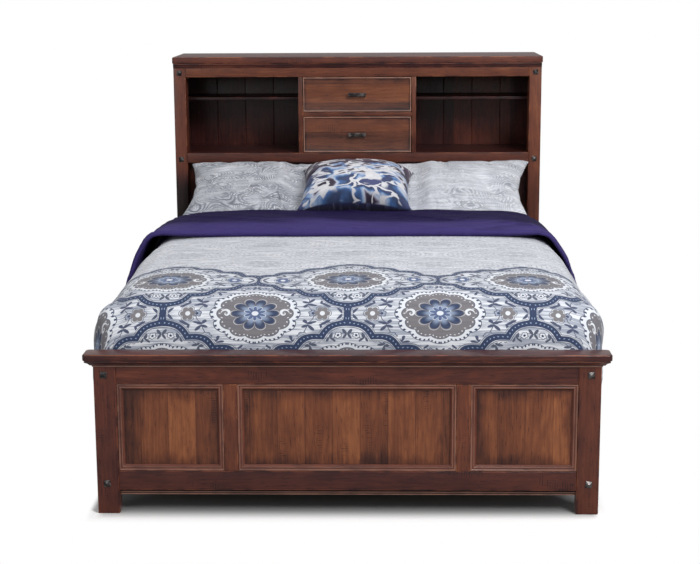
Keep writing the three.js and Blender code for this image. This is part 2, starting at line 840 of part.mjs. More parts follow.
// Half of the comforter's cross-section. Over is a share of the mattress's half width, out of
// the spread beyond it, fall of the drop to the hem, and loft tells how thick it is there.
const comforterHalfShares = [
  { over: 0, out: 0, fall: 0, loft: 1 },
  { over: 0.22, out: 0, fall: 0, loft: 1 },
  { over: 0.44, out: 0, fall: 0, loft: 1 },
  { over: 0.64, out: 0, fall: 0.003, loft: 0.95 },
  { over: 0.8, out: 0, fall: 0.01, loft: 0.9 },
  { over: 0.905, out: 0, fall: 0.028, loft: 0.7 },
  { over: 0.975, out: 0, fall: 0.056, loft: 0.4 },
  { over: 1, out: 0.2, fall: 0.125, loft: 0.12 },
  { over: 1, out: 0.45, fall: 0.225, loft: 0 },
  { over: 1, out: 0.63, fall: 0.335, loft: 0 },
  { over: 1, out: 0.8, fall: 0.44, loft: 0 },
  { over: 1, out: 0.94, fall: 0.56, loft: 0 },
  { over: 1, out: 1, fall: 0.7, loft: 0 },
  { over: 1, out: 1, fall: 0.85, loft: 0 },
  { over: 1, out: 1, fall: 1, loft: 0 },
];

// How the comforter falls at the foot: shares of the slope's length, and of its drop.
const footSlopeShares = [
  [0, 1], [0.002, 0.82], [0.011, 0.64], [0.036, 0.48], [0.077, 0.345], [0.13, 0.235], [0.193, 0.155],
  [0.273, 0.1], [0.39, 0.06], [0.55, 0.028], [0.76, 0.004], [1, 0],
];

// How far the sides stand out near the foot: shares of the slope's length, and of the spread.
const footSpreadShares = [[0, 0.54], [0.036, 0.6], [0.13, 0.68], [0.27, 0.8], [0.5, 0.96], [0.7, 1]];

// Rows behind the foot's slope: shares of the stretch that shows, and of the one turned over.
const openRowShares = [0.45, 1];
const coveredRowShares = [0, 0.3, 0.65, 1];

function comforterStations() {
  const slope = footSlopeShares.map(([along, drop]) => ({
    y: comforterFoot + comforterFootSlope * along,
    drop: comforterFootDrop * drop,
    spreadShare: tableValue(footSpreadShares, along),
  }));
  const slopeEnd = comforterFoot + comforterFootSlope;
  const pressStart = turnbackFoot - comforterPressRun;
  const pressEnd = turnbackFoot - touchGap;
  const rows = [
    ...openRowShares.map((share) => THREE.MathUtils.lerp(slopeEnd, pressStart, share)),
    ...coveredRowShares.map((share) => THREE.MathUtils.lerp(pressEnd, comforterHead, share)),
  ];
  return [...slope, ...rows.map((y) => ({ y, drop: 0, spreadShare: 1 }))];
}

// How far the comforter is pressed down by its own turned-back end, from 0 to 1.
function pressedShare(y) {
  return THREE.MathUtils.smoothstep(y, turnbackFoot - comforterPressRun, turnbackFoot - touchGap);
}

function comforterPoint({ y, drop, spreadShare }, { side, over, out, fall }) {
  const pressed = pressedShare(y);
  const top = comforterTop - drop - comforterPress * pressed;
  const spread = THREE.MathUtils.lerp(comforterSpread, comforterPressedSpread, pressed);
  const wave = Math.sin(2 * Math.PI * (y - comforterFoot) / comforterFoldLength);
  const fold = comforterFoldDepth * wave * fall * fall * (1 - pressed);
  const along = (y - comforterFoot) / comforterFootSlope;
  const puff = comforterCornerPuff * cornerBump(along, out);
  const x = mattressHalf * over + spread * spreadShare * out + fold * spreadShare + puff;
  return new THREE.Vector3(side * x, y, top - fall * (top - comforterHemHeight) + puff);
}

// The bunched cloth at a foot corner, full at shares that follow its middle.
function cornerBump(along, out) {
  const alongMiddleShare = 0.17;
  const alongWidthShare = 0.12;
  const outMiddleShare = 0.5;
  const outWidthShare = 0.34;
  const a = (along - alongMiddleShare) / alongWidthShare;
  const b = (out - outMiddleShare) / outWidthShare;
  return Math.exp(-a * a - b * b);
}

function comforter() {
  const columns = bothSides(comforterHalfShares);
  const stations = comforterStations();
  const upper = stations.map((station) => columns.map((column) => comforterPoint(station, column)));
  const slopeEnd = comforterFoot + comforterFootSlope;
  const thickness = (i, j) => {
    const overMattress = THREE.MathUtils.smoothstep(stations[i].y, mattressFoot, slopeEnd);
    const loft = (comforterLoft - comforterSideThickness) * columns[j].loft * overMattress;
    return comforterSideThickness + loft - comforterPress * pressedShare(stations[i].y);
  };
  return closedSheet(upper, innerFace(upper, thickness));
}

// Half of the turned-back end's cross-section at its free edge, and at the fold by the pillows.
const turnbackHalfShares = [
  { over: 0, out: 0, fall: 0, foldFall: 0, loft: 1 },
  { over: 0.3, out: 0, fall: 0, foldFall: 0, loft: 1 },
  { over: 0.6, out: 0, fall: 0, foldFall: 0.001, loft: 1 },
  { over: 0.8, out: 0, fall: 0.002, foldFall: 0.01, loft: 0.95 },
  { over: 0.92, out: 0, fall: 0.006, foldFall: 0.045, loft: 0.6 },
  { over: 1, out: 0, fall: 0.02, foldFall: 0.1, loft: 0.1 },
  { over: 1, out: 0.23, fall: 0.05, foldFall: 0.165, loft: 0 },
  { over: 1, out: 0.41, fall: 0.125, foldFall: 0.25, loft: 0 },
  { over: 1, out: 0.52, fall: 0.214, foldFall: 0.33, loft: 0 },
  { over: 1, out: 0.62, fall: 0.305, foldFall: 0.42, loft: 0 },
  { over: 1, out: 0.72, fall: 0.424, foldFall: 0.53, loft: 0 },
  { over: 1, out: 0.83, fall: 0.593, foldFall: 0.66, loft: 0 },
  { over: 1, out: 0.94, fall: 0.73, foldFall: 0.78, loft: 0 },
  { over: 1, out: 0.99, fall: 0.865, foldFall: 0.89, loft: 0 },
  { over: 1, out: 1, fall: 1, foldFall: 1, loft: 0 },
];

// Rows along the turned-back end: shares of its length, and of the roll's drop at the fold.
const turnbackRowShares = [
  [0, 0], [0.2, 0], [0.4, 0], [0.6, 0], [0.8, 0], [0.92, 0], [0.955, 0.03], [0.978, 0.14], [0.993, 0.36],
  [1, 0.68], [1, 1],
];

function turnbackPoint([along, roll], { side, over, out, fall, foldFall }) {
  const top = turnbackTop - turnbackRollDrop * roll;
  const share = THREE.MathUtils.lerp(fall, foldFall, along);
  const x = mattressHalf * over + turnbackSpread * out;
  const z = top - share * (top - turnbackHemHeight);
  return new THREE.Vector3(side * x, turnbackFoot + turnbackLength * along, z);
}

function turnback() {
  const columns = bothSides(turnbackHalfShares);
  const upper = turnbackRowShares.map((row) => columns.map((column) => turnbackPoint(row, column)));
  const thickness = (i, j) => {
    const roll = 1 - Math.min(1, 2 * turnbackRowShares[i][1]);
    return turnbackSideThickness + (turnbackLoft - turnbackSideThickness) * columns[j].loft * roll;
  };
  return closedSheet(upper, innerFace(upper, thickness));
}

// Pillows and cushion

// A crowned closed form in its own XY plane, drawn in along its four sides.
function crownedForm({ width, height, crown, underCrown, drawIn, steps, dent }) {
  const [columns, rows] = steps;
  const crownPower = 0.42;
  const face = (sign, swell) => {
    const grid = [];
    for (let i = 0; i <= rows; i += 1) {
      const v = Math.sin((i / rows - 1 / 2) * Math.PI);
      const row = [];
      for (let j = 0; j <= columns; j += 1) {
        const u = Math.sin((j / columns - 1 / 2) * Math.PI);
        const x = u * (width / 2 - drawIn * (1 - v * v));
        const y = v * (height / 2 - drawIn * (1 - u * u));
        const full = Math.pow((1 - u * u) * (1 - v * v), crownPower);
        const lift = swell * full * (dent && sign > 0 ? dent(x) : 1);
        row.push(new THREE.Vector3(x, y, sign * (seamThickness / 2 + lift)));
      }
      grid.push(row);
    }
    return grid;
  };
  return closedSheet(face(1, crown), face(-1, underCrown));
}

// How far a form's lowest point lies below its middle once it is turned flat and then tilted.
function depthWhenTilted(geometry, tilt, turn = 0) {
  const tilted = geometry.clone().rotateZ(turn).rotateX(tilt);
  tilted.computeBoundingBox();
  return -tilted.boundingBox.min.z;
}

// Each sham is pressed down where the throw cushion lies on it.
function sham(sign) {
  const dentShare = 0.5;
  const dentEnd = cushionWidth / 2 + cushionDentMargin;
  const dent = (x) => {
    const fromMiddle = shamSpacing / 2 + sign * x;
    const risen = THREE.MathUtils.smoothstep(fromMiddle, dentEnd, dentEnd + cushionDentBlend);
    return THREE.MathUtils.lerp(dentShare, 1, risen);
  };
  return crownedForm({
    width: shamWidth,
    height: shamHeight,
    crown: shamCrown,
    underCrown: shamUnderCrown,
    drawIn: shamDrawIn,
    steps: shamGridSteps,
    dent,
  });
}

function addPillows() {
  const tilt = THREE.MathUtils.degToRad(shamTilt);
  const halfRun = shamHeight / 2 * Math.cos(tilt);
  for (const [side, sign] of [["left", -1], ["right", 1]]) {
    const form = sham(sign);
    const pillow = piece(`${side}_pillow`, form, "print");
    pillow.position.set(
      sign * shamSpacing / 2,
      turnbackHead + shamFootClearance + halfRun,
      mattressTop + touchGap + depthWhenTilted(form, tilt),
    );
    pillow.rotation.x = tilt;
  }
}

function addCushion() {
  const form = crownedForm({
    width: cushionWidth,
    height: cushionHeight,
    crown: cushionCrown,
    underCrown: cushionUnderCrown,
    drawIn: cushionDrawIn,
    steps: cushionGridSteps,
  });
  const cushion = piece("throw_cushion", form, "blotch");
  const tilt = THREE.MathUtils.degToRad(cushionTilt);
  const turn = THREE.MathUtils.degToRad(cushionTurn);
  cushion.position.set(
    0,
    turnbackHead - cushionFromTurnbackEnd + cushionHeight / 2 * Math.cos(tilt),
    turnbackTop + touchGap + depthWhenTilted(form, tilt, turn),
  );
  cushion.rotation.set(tilt, 0, turn, "XYZ");
}

addFootboard();
addHeadboard();
addDrawers();
addBase();
addMattress();
piece("comforter", comforter(), "print");
piece("comforter_turnback", turnback(), "purple");
addPillows();
addCushion();

const assembly = new THREE.Group();
assembly.add(bed);
export default assembly;
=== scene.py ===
"""The looks of a made-up queen bed with a bookcase headboard, built around its CAD frame.

Metres, +Z up. X runs across the bed, -Y is its foot and +Y its head.
"""
import math
from contextlib import contextmanager
from functools import partialmethod

import bmesh
import bpy
import numpy as np
from mathutils import Matrix, Vector, noise
from mathutils.bvhtree import BVHTree


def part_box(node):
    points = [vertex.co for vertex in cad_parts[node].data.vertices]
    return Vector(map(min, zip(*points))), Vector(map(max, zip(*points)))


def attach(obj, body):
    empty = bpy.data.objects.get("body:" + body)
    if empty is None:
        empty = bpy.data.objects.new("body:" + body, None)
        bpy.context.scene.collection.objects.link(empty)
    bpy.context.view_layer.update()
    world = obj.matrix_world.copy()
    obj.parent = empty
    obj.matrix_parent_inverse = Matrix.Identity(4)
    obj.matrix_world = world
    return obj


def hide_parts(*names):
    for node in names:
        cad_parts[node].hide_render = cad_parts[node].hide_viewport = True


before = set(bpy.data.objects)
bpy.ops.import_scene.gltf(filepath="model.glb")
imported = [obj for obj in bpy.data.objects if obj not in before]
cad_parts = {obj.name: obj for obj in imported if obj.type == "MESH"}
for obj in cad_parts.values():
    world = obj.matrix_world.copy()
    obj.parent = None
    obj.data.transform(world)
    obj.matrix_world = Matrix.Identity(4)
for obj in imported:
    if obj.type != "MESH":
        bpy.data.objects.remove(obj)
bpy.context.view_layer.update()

# Camera, as fitted to the straight edges in the photograph
CAMERA_PLACE = Vector((0.12785, -6.0735, 1.7529))
CAMERA_YAW = -0.0237
CAMERA_PITCH = 0.1958
CAMERA_ROLL = 0.0052
FOCAL_LENGTH_PIXELS = 1516.96
IMAGE_WIDTH_PIXELS = 700
SENSOR_WIDTH_MM = 36

# Colours in linear light
NAVY = (0.032, 0.050, 0.112)
MID_BLUE = (0.095, 0.135, 0.260)
SLATE = (0.085, 0.100, 0.150)
PALE_BLUE = (0.280, 0.350, 0.480)
TAUPE = (0.205, 0.195, 0.208)
PALE_TAUPE = (0.59125, 0.60750, 0.64450)
BRIGHT = (0.720, 0.745, 0.790)
GROUND_DARK = (0.480, 0.500, 0.560)
GROUND_PALE = (0.760, 0.775, 0.820)
LINE_GREY = (0.150, 0.165, 0.215)
LINE_DARK = (0.105, 0.116, 0.150)
PLUM_BLACK = (0.022, 0.015, 0.035)
WOOD_STOPS = [
    (0.0, (0.0105, 0.0034, 0.0036)), (0.32, (0.0460, 0.0118, 0.0104)),
    (0.64, (0.1270, 0.0325, 0.0185)), (1.0, (0.2900, 0.1000, 0.0420)),
]
WARM_WOOD = (0.034, 0.0075, 0.0070), (0.310, 0.108, 0.036)
# Light colour of rubbed finish and of painted highlight on raised crests and edges
RUBBED_AND_HIGHLIGHT = (0.3600, 0.1900, 0.1350)
PINE_STOPS = [(0.1, (0.330, 0.190, 0.092)), (0.8, (0.540, 0.370, 0.205))]
BLOTCH_STOPS = [
    (0.33, (0.080, 0.055, 0.090)), (0.42, PLUM_BLACK), (0.46, (0.045, 0.032, 0.060)),
    (0.475, (0.250, 0.240, 0.330)), (0.495, (0.520, 0.560, 0.660)),
    (0.525, (0.300, 0.410, 0.600)), (0.55, (0.060, 0.140, 0.340)), (0.59, NAVY),
    (0.68, (0.060, 0.070, 0.180)),
]


# Node trees, written as sums

def tree_of(*values):
    """The node tree of the first value that is a field or an output."""
    for value in values:
        if isinstance(value, (Field, bpy.types.NodeSocket)):
            return getattr(value, "socket", value).id_data


def plug(value, socket):
    """Joins a field or an output to a socket, or sets a plain number or colour on it."""
    if isinstance(value, Field):
        value = value.socket
    if isinstance(value, bpy.types.NodeSocket):
        socket.id_data.links.new(value, socket)
    elif isinstance(value, tuple) and socket.type == "RGBA":
        socket.default_value = (*value, 1)
    else:
        socket.default_value = value


def new_node(kind, *values, **settings):
    """A node in its values' tree, with its settings, and the values on its first sockets."""
    node = tree_of(*values).nodes.new(f"ShaderNode{kind}")
    for name, setting in settings.items():
        setattr(node, name, setting)
    for value, socket in zip(values, node.inputs):
        plug(value, socket)
    return node


class Field:
    """A number that varies over a surface. Arithmetic carries it into new nodes."""

    def __init__(self, socket):
        self.socket = socket

    def math(self, operation, *others):
        return Field(new_node("Math", self, *others, operation=operation).outputs[0])

    __add__ = __radd__ = partialmethod(math, "ADD")
    __sub__ = partialmethod(math, "SUBTRACT")
    __rsub__ = partialmethod(math, "MULTIPLY_ADD", -1)
    __mul__ = __rmul__ = partialmethod(math, "MULTIPLY")
    __truediv__ = partialmethod(math, "DIVIDE")
    __abs__ = partialmethod(math, "ABSOLUTE")
    sin = partialmethod(math, "SINE")
    cos = partialmethod(math, "COSINE")
    power = partialmethod(math, "POWER")
    least = partialmethod(math, "MINIMUM")
    most = partialmethod(math, "MAXIMUM")
    angle_from = partialmethod(math, "ARCTAN2")

    def mirrored(self, half_period):
        """The distance to the nearest multiple of the period."""
        return self.math("PINGPONG", half_period)

    def wrapped(self, half_period):
        """The signed distance to the nearest multiple of the period."""
        return self.math("WRAP", half_period, -half_period)

    def step(self, low, high):
        """0 at low and 1 at high, smooth between them."""
        node = new_node("MapRange", self, low, high, interpolation_type="SMOOTHSTEP")
        return Field(node.outputs[0])


def length(x, y):
    return (x * x + y * y).math("SQRT")


def vector(x, y, z):
    return new_node("CombineXYZ", x, y, z).outputs[0]


def split(socket):
    return [Field(output) for output in new_node("SeparateXYZ", socket).outputs]


def noise_field(x, y, z, detail=2.0, roughness=0.5, scale=1.0):
    node = new_node("TexNoise", vector(x, y, z))
    for name, value in (("Scale", scale), ("Detail", detail), ("Roughness", roughness)):
        node.inputs[name].default_value = value
    return Field(node.outputs["Fac"])


def random_field(value):
    """A number from 0 to 1 that is picked anew for each value."""
    node = tree_of(value).nodes.new("ShaderNodeTexWhiteNoise")
    node.noise_dimensions = "1D"
    plug(value, node.inputs["W"])
    return Field(node.outputs["Value"])


def mixed(share, low, high):
    """A colour from low to high."""
    node = tree_of(share, low, high).nodes.new("ShaderNodeMix")
    node.data_type = "RGBA"
    for value, number in ((share, 0), (low, 6), (high, 7)):
        plug(value, node.inputs[number])
    return node.outputs[2]


def ramp(share, stops):
    """A colour from a list of (place, colour) stops."""
    node = new_node("ValToRGB", share)
    elements = node.color_ramp.elements
    while len(elements) < len(stops):
        elements.new(0.5)
    for element, (place, colour) in zip(elements, stops):
        element.position = place
        element.color = (*colour, 1)
    return node.outputs[0]


def new_material(name, values):
    """A material, and its shader with plain values on some of its inputs."""
    material = bpy.data.materials.new(name)
    material.use_nodes = True
    shader = material.node_tree.nodes["Principled BSDF"]
    for key, value in values.items():
        shader.inputs[key].default_value = value
    return material, shader


def finish_surface(shader, colour, roughness, height, depth, strength):
    """Plugs in the colour and the roughness, and lets a height field shade the surface.

    The height runs from 0 to 1 over a depth in metres.
    """
    plug(colour, shader.inputs["Base Color"])
    plug(roughness, shader.inputs["Roughness"])
    node = shader.id_data.nodes.new("ShaderNodeBump")
    node.inputs["Strength"].default_value = strength
    node.inputs["Distance"].default_value = depth
    plug(height, node.inputs["Height"])
    plug(node.outputs[0], shader.inputs["Normal"])


def object_place(shader):
    return split(shader.id_data.nodes.new("ShaderNodeTexCoord").outputs["Object"])


def cloth_place(shader):
    """Where a point lies on its cloth laid flat, in metres from the cloth's own middle or edge."""
    node = shader.id_data.nodes.new("ShaderNodeAttribute")
    node.attribute_name = "cloth"
    return split(node.outputs["Vector"])


# Wood

WOOD_AXES = {"x": (0, 2, 1), "y": (1, 2, 0), "z": (2, 0, 1), "frame": (0, 2, 1)}

# Noise in a board: its scale along and across the grain, its detail and its roughness
WOOD_NOISE = {
    "figure": (1.4, 11, 2, 0.5), "streak": (5.5, 105, 4, 0.7), "fleck": (26, 260, 2, 0.5),
    "pore": (42, 900, 2, 0.5), "patch": (4, 9, 3, 0.5), "stain": (14, 22, 4, 0.5),
    "sawn": (5, 17, 1, 0.5), "rung": (90, 30, 1, 0.5),
    "pine_figure": (1.3, 12, 2, 0.5), "pine_streak": (4, 160, 3, 0.5),
}
RING_TURNS = 82
PINE_RING_TURNS = 60
SAW_PITCH = 0.0042
GLAZE = (0.0, 0.010)
GLAZE_DEPTH = 0.12
BORDER_DEPTH = 0.32
# Heights between which the painted shade behind the bedding fades in
BEHIND_BEDDING = (0.94, 0.78)
WOOD_RELIEF = 0.0007
PINE_RELIEF = 0.0004


def grained(kind, along, across, depth, seed):
    """Noise drawn out along the grain."""
    along_scale, across_scale, detail, roughness = WOOD_NOISE[kind]
    return noise_field(
        along * along_scale, across * across_scale, depth * across_scale + seed, detail, roughness)


def edge_distance(place, low, high):
    """How far a point on a board's face lies from the nearest edge of that face."""
    x, y, z = (
        (field - start).least(end - field).most(0) for field, start, end in zip(place, low, high))
    return x + y + z - x.least(y).least(z) - x.most(y).most(z)


def mitred(place, low, high):
    """The coordinates along and across the members of an upright frame."""
    x, _, z = place
    from_side = (x - low.x).least(high.x - x)
    from_end = (z - low.z).least(high.z - z)
    upright = (from_end - from_side).step(-0.0005, 0.0005)
    swap = upright * (z - x)
    return x + swap, z - swap


def wood_material(node, grain, tone, seed, warmth=0.0, planks=None, border=None, rub=None,
                  rub_and_highlight_share=0.2, calm=0.75, edge_wear_and_highlight=0.34, top_shade=0.0, foot_shade=0.0,
                  dullness=0.0):
    """Stained wood on one board: its figure, pores, darkened borders, and edges lightened by worn
    finish and painted highlight.

    Tone lifts or lowers the stain, planks is the width of the boards that it is glued from, and
    border is where the dark glaze along the edges starts and ends. Rub is an axis and how far from
    the board's low side on it the raised edges are lightened, by rubbed finish and painted
    highlight. Calm scales the streaks, wear the light edges of worn finish and painted highlight,
    top_shade the painted shade on the face on top, foot_shade the painted shade on the part behind
    the bedding, and dullness adds to the roughness.
    """
    material, shader = new_material(f"wood_{node}", {
        "Specular IOR Level": 0.32, "Coat Weight": 0.4 if rub else 0.1,
        "Coat Roughness": 0.16 + dullness,
    })
    place = object_place(shader)
    low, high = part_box(node)
    edge = edge_distance(place, low, high)
    along, across, depth = (place[axis] for axis in WOOD_AXES[grain])
    if grain == "frame":
        along, across = mitred(place, low, high)
    if planks:
        from_seam = across + (seed * 0.013 + 2)
        plank = (from_seam / planks).math("FLOOR")
        shift = random_field(plank + seed)
        along = along + shift * 3
    bend = noise_field(along * 1.6, across * 5, depth + seed, detail=1)
    bent = across + bend * 0.03
    if planks:
        bent = bent + shift * 0.4
    figure, streak, fleck = (
        grained(kind, along, bent, depth, seed) for kind in ("figure", "streak", "fleck"))
    pore = grained("pore", along, across, depth, seed)
    patch = grained("patch", along, across, depth, seed)
    stain = grained("stain", along, across, depth, -seed)
    rings = (figure * RING_TURNS).sin() * 0.5 + 0.5
    value = (figure - 0.5) * 0.42 + (rings - 0.5) * 0.09 + (streak - 0.5) * 0.74
    value = (value + (patch - 0.5) * 0.44 + (stain - 0.5) * 0.40) * calm + tone
    if planks:
        value = value + (random_field(plank * 1.7 + seed) - 0.5) * 0.34
        value = value - from_seam.mirrored(planks / 2).step(0.0018, 0.0006) * 0.2
    start, end = border or GLAZE
    glaze_reach = edge + (patch - 0.5) * (end - start) * 1.4 + (stain - 0.5) * (end - start) * 0.8
    value = value - glaze_reach.step(end, start) * (BORDER_DEPTH if border else GLAZE_DEPTH)
    # Painted highlight and worn finish: the edges of each face are lightened where the stain lets
    # them.
    value = value + edge.step(0.0042, 0.0016) * stain.step(0.42, 0.56) * edge_wear_and_highlight
    # Painted shade: the face on top is darkened.
    if top_shade:
        value = value - place[2].step(high.z - 0.0008, high.z - 0.0002) * top_shade
    # Painted shade from the bedding: the part behind it is darkened towards the bottom.
    if foot_shade:
        value = value - place[2].step(*BEHIND_BEDDING) * foot_shade
    marks = saw_marks(along, across, depth, seed)
    value = value - marks * 0.34 - pore.step(0.6, 0.78) * 0.14 - fleck.step(0.62, 0.7) * 0.26
    colour = ramp(value, WOOD_STOPS)
    if warmth:
        colour = mixed(warmth, colour, mixed(value, *WARM_WOOD))
    # Painted highlight on the raised crests, with rubbed finish: the crest is mixed towards the
    # light rubbed colour.
    if rub:
        axis, reach = rub
        crest = (place[axis] - low[axis]).step(reach, reach * 0.35)
        colour = mixed(crest * (stain.step(0.36, 0.56) * 0.22 + rub_and_highlight_share), colour, RUBBED_AND_HIGHLIGHT)
    sheen = streak * 0.2 + stain * 0.14 + 0.19 + marks * 0.1
    height = streak * 0.5 - pore.step(0.58, 0.8) * 0.45 - marks * 0.6 + stain * 0.3
    height = height - fleck.step(0.58, 0.7) * 0.35
    finish_surface(shader, colour, sheen + dullness, height, WOOD_RELIEF, 0.5)
    return material


def saw_marks(along, across, depth, seed):
    """Short ladders of marks across the grain, left here and there as on old boards."""
    patch = grained("sawn", along, across, depth, seed + 5)
    rung = grained("rung", along, across, depth, seed)
    ladder = along.mirrored(SAW_PITCH) * (1 / SAW_PITCH)
    return patch.step(0.62, 0.70) * ladder.step(0.55, 0.9) * rung.step(0.42, 0.6)


def pine_material(node, grain, seed):
    """Plain unstained wood."""
    material, shader = new_material(f"pine_{node}", {})
    place = object_place(shader)
    along, across, depth = (place[axis] for axis in WOOD_AXES[grain])
    bend = noise_field(along * 2, across * 6, depth + seed, detail=1)
    bent = across + bend * 0.02
    figure = grained("pine_figure", along, bent, depth, seed)
    streak = grained("pine_streak", along, bent, depth, seed)
    rings = (figure * PINE_RING_TURNS).sin() * 0.5 + 0.5
    value = rings * 0.4 + streak * 0.5 + figure * 0.3 - 0.1
    finish_surface(shader, ramp(value, PINE_STOPS), streak * 0.2 + 0.5, streak, PINE_RELIEF, 0.5)
    return material


ARRIS = 0.0016
SAME_POINT = 1e-6
FLAT_BELOW = math.radians(1)
SHARP_ABOVE = math.radians(30)
SMOOTH_BELOW = math.radians(40)
# The cubbies' shelves and back, toned dark in BOARDS as painted shade inside the cubbies
DARK_BOARDS = ("bookcase_left_shelf", "bookcase_right_shelf", "bookcase_back")

# Each stained board: its grain, its tone and its options
BOARDS = {
    "footboard_left_post": ("z", 0.50, {"calm": 0.5}),
    "footboard_right_post": ("z", 0.53, {"warmth": 0.1, "calm": 0.55}),
    "footboard_left_stile": ("z", 0.64, {"warmth": 0.2}),
    "footboard_right_stile": ("z", 0.62, {"warmth": 0.2}),
    "footboard_top_rail": ("x", 0.47, {}),
    "footboard_bottom_rail": ("x", 0.41, {"calm": 0.5}),
    "footboard_crown": ("x", 0.38, {"edge_wear_and_highlight": 0.5}),
    "footboard_crown_moulding": ("x", 0.44, {"rub": (2, 0.0055), "rub_and_highlight_share": 0.70}),
    "headboard_left_post": ("z", 0.63, {"warmth": 0.1, "calm": 0.6, "foot_shade": 0.62}),
    "headboard_right_post": ("z", 0.67, {"warmth": 0.15, "calm": 0.6, "foot_shade": 0.24}),
    "headboard_left_side": ("z", 0.48, {"planks": 0.13}),
    "headboard_right_side": ("z", 0.48, {"planks": 0.13}),
    "headboard_top_rail": ("x", 0.59, {"warmth": 0.2}),
    "headboard_bottom_rail": ("x", 0.44, {"warmth": 0.1, "calm": 0.6}),
    "headboard_crown": (
        "x", 0.53, {"planks": 0.19, "edge_wear_and_highlight": 0.5, "top_shade": 0.26, "dullness": 0.16}),
    "headboard_crown_moulding": ("x", 0.42, {}),
    "headboard_lower_panel": ("z", 0.42, {"planks": 0.14}),
    "bookcase_left_divider": ("z", 0.58, {"warmth": 0.2}),
    "bookcase_right_divider": ("z", 0.58, {"warmth": 0.2}),
    # The cubbies' shelves, floor and back are toned down as painted shade inside the cubbies.
    "bookcase_left_shelf": ("x", 0.18, {}),
    "bookcase_right_shelf": ("x", 0.18, {}),
    "bookcase_floor": ("x", 0.30, {"planks": 0.12}),
    "bookcase_back": ("z", 0.37, {"planks": 0.2714}),
    "drawer_shelf": ("x", 0.56, {"warmth": 0.2}),
    "left_side_rail": ("y", 0.48, {}),
    "right_side_rail": ("y", 0.48, {}),
}
for _side, _tone in (("left", 0.70), ("centre", 0.71), ("right", 0.62)):
    BOARDS[f"footboard_{_side}_panel"] = (
        "z", _tone, {"warmth": 0.4, "planks": 0.092, "border": (0.012, 0.070), "calm": 0.95})
    BOARDS[f"footboard_{_side}_panel_bead"] = ("frame", 0.56, {"warmth": 0.1, "rub": (1, 0.0026)})
for _drawer, _tone in (("upper", 0.53), ("lower", 0.46)):
    BOARDS[f"{_drawer}_drawer_front"] = ("x", _tone, {
        "warmth": 0.4, "planks": 0.085, "border": (0.004, 0.020), "rub": (1, 0.0014),
        "rub_and_highlight_share": 0.6})

PINE = {
    "upper_drawer_box": "x", "lower_drawer_box": "x", "slat_1": "x", "slat_2": "x", "slat_3": "x",
    "slat_4": "x", "centre_leg_foot": "z", "centre_leg_head": "z",
}


def dress(node, material):
    """Gives a CAD node its material."""
    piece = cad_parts[node]
    piece.data.materials.clear()
    piece.data.materials.append(material)


def finish_piece(piece, material, slot, node, fill=None):
    """Gives a piece its material and body, and lets it stand for a node. Its slot and fill are not
    used.
    """
    piece.data.materials.clear()
    piece.data.materials.append(material)
    drawers = [body for body in ("upper_drawer", "lower_drawer") if node.startswith(body)]
    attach(piece, drawers[0] if drawers else "root")
    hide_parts(node)


def new_object(name, data):
    piece = bpy.data.objects.new(name, data)
    bpy.context.scene.collection.objects.link(piece)
    return piece


@contextmanager
def reshaped(mesh, smooth_below):
    """Opens a mesh for changes, and writes it back smooth where it turns less than an angle."""
    shape = bmesh.new()
    shape.from_mesh(mesh)
    yield shape
    for face in shape.faces:
        face.smooth = True
    for edge in shape.edges:
        edge.smooth = edge.calc_face_angle(0) < smooth_below
    shape.to_mesh(mesh)
    shape.free()


def eased_board(node, material, slot):
    """A copy of a board whose sharp arrises are eased, in the place of the board itself."""
    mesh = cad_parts[node].data.copy()
    with reshaped(mesh, SMOOTH_BELOW) as shape:
        bmesh.ops.remove_doubles(shape, verts=shape.verts, dist=SAME_POINT)
        bmesh.ops.dissolve_limit(
            shape, angle_limit=FLAT_BELOW, verts=shape.verts, edges=shape.edges)
        sharp = [edge for edge in shape.edges if edge.calc_face_angle(0) > SHARP_ABOVE]
        bmesh.ops.bevel(
            shape, geom=sharp, offset=ARRIS, offset_type="OFFSET", segments=3, profile=0.5,
            affect="EDGES", clamp_overlap=True)
    finish_piece(new_object(f"eased_{node}", mesh), material, slot, node)


# The base strip's section: shares of its thickness back from its face and of its height down
STRIP_SECTION = (
    (1, 0), (0.44, 0), (0.44, 0.30), (0.22, 0.32), (0.08, 0.38), (0.02, 0.48), (0.02, 0.58),
    (0.08, 0.66), (0.20, 0.71), (0.20, 0.78), (0.06, 0.80), (0.06, 1), (1, 1),
)
STRIP_SMOOTH_BELOW = math.radians(50)


def add_base_strip():
    """The strip under the footboard's bottom rail, with a groove over a bead."""
    node = "footboard_base_strip"
    low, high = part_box(node)
    size = high - low
    loops = [
        [(x, low.y + size.y * back, high.z - size.z * down) for back, down in STRIP_SECTION]
        for x in (low.x, high.x)]
    piece = tube_piece("moulded_base_strip", loops)
    with reshaped(piece.data, STRIP_SMOOTH_BELOW) as shape:
        bmesh.ops.recalc_face_normals(shape, faces=shape.faces)
    material = wood_material(node, "x", 0.40, 34.3, rub=(1, 0.0022), rub_and_highlight_share=0.34)
    finish_piece(piece, material, "dark_wood", node)


def dress_wood():
    add_base_strip()
    for number, (node, (grain, tone, options)) in enumerate(BOARDS.items()):
        material = wood_material(node, grain, tone, 1.0 + 3.7 * number, **options)
        eased_board(node, material, "dark_wood" if node in DARK_BOARDS else "wood")
    for number, (node, grain) in enumerate(PINE.items()):
        dress(node, pine_material(node, grain, 2.0 + 5.3 * number))


# Iron

BLOW_SCALE = 210
RUB_SCALE = 60


def iron_material(name, dark, rubbed, roughness, blow_depth):
    """Dark bronze iron with a hammered face."""
    material, shader = new_material(name, {"Metallic": 0.85})
    place = object_place(shader)
    blow = noise_field(*place, detail=1, scale=BLOW_SCALE)
    rub = noise_field(*place, detail=4, scale=RUB_SCALE)
    colour = mixed(rub.step(0.42, 0.7), dark, rubbed)
    finish_surface(shader, colour, rub * 0.3 + roughness, blow, blow_depth, 0.7)
    return material


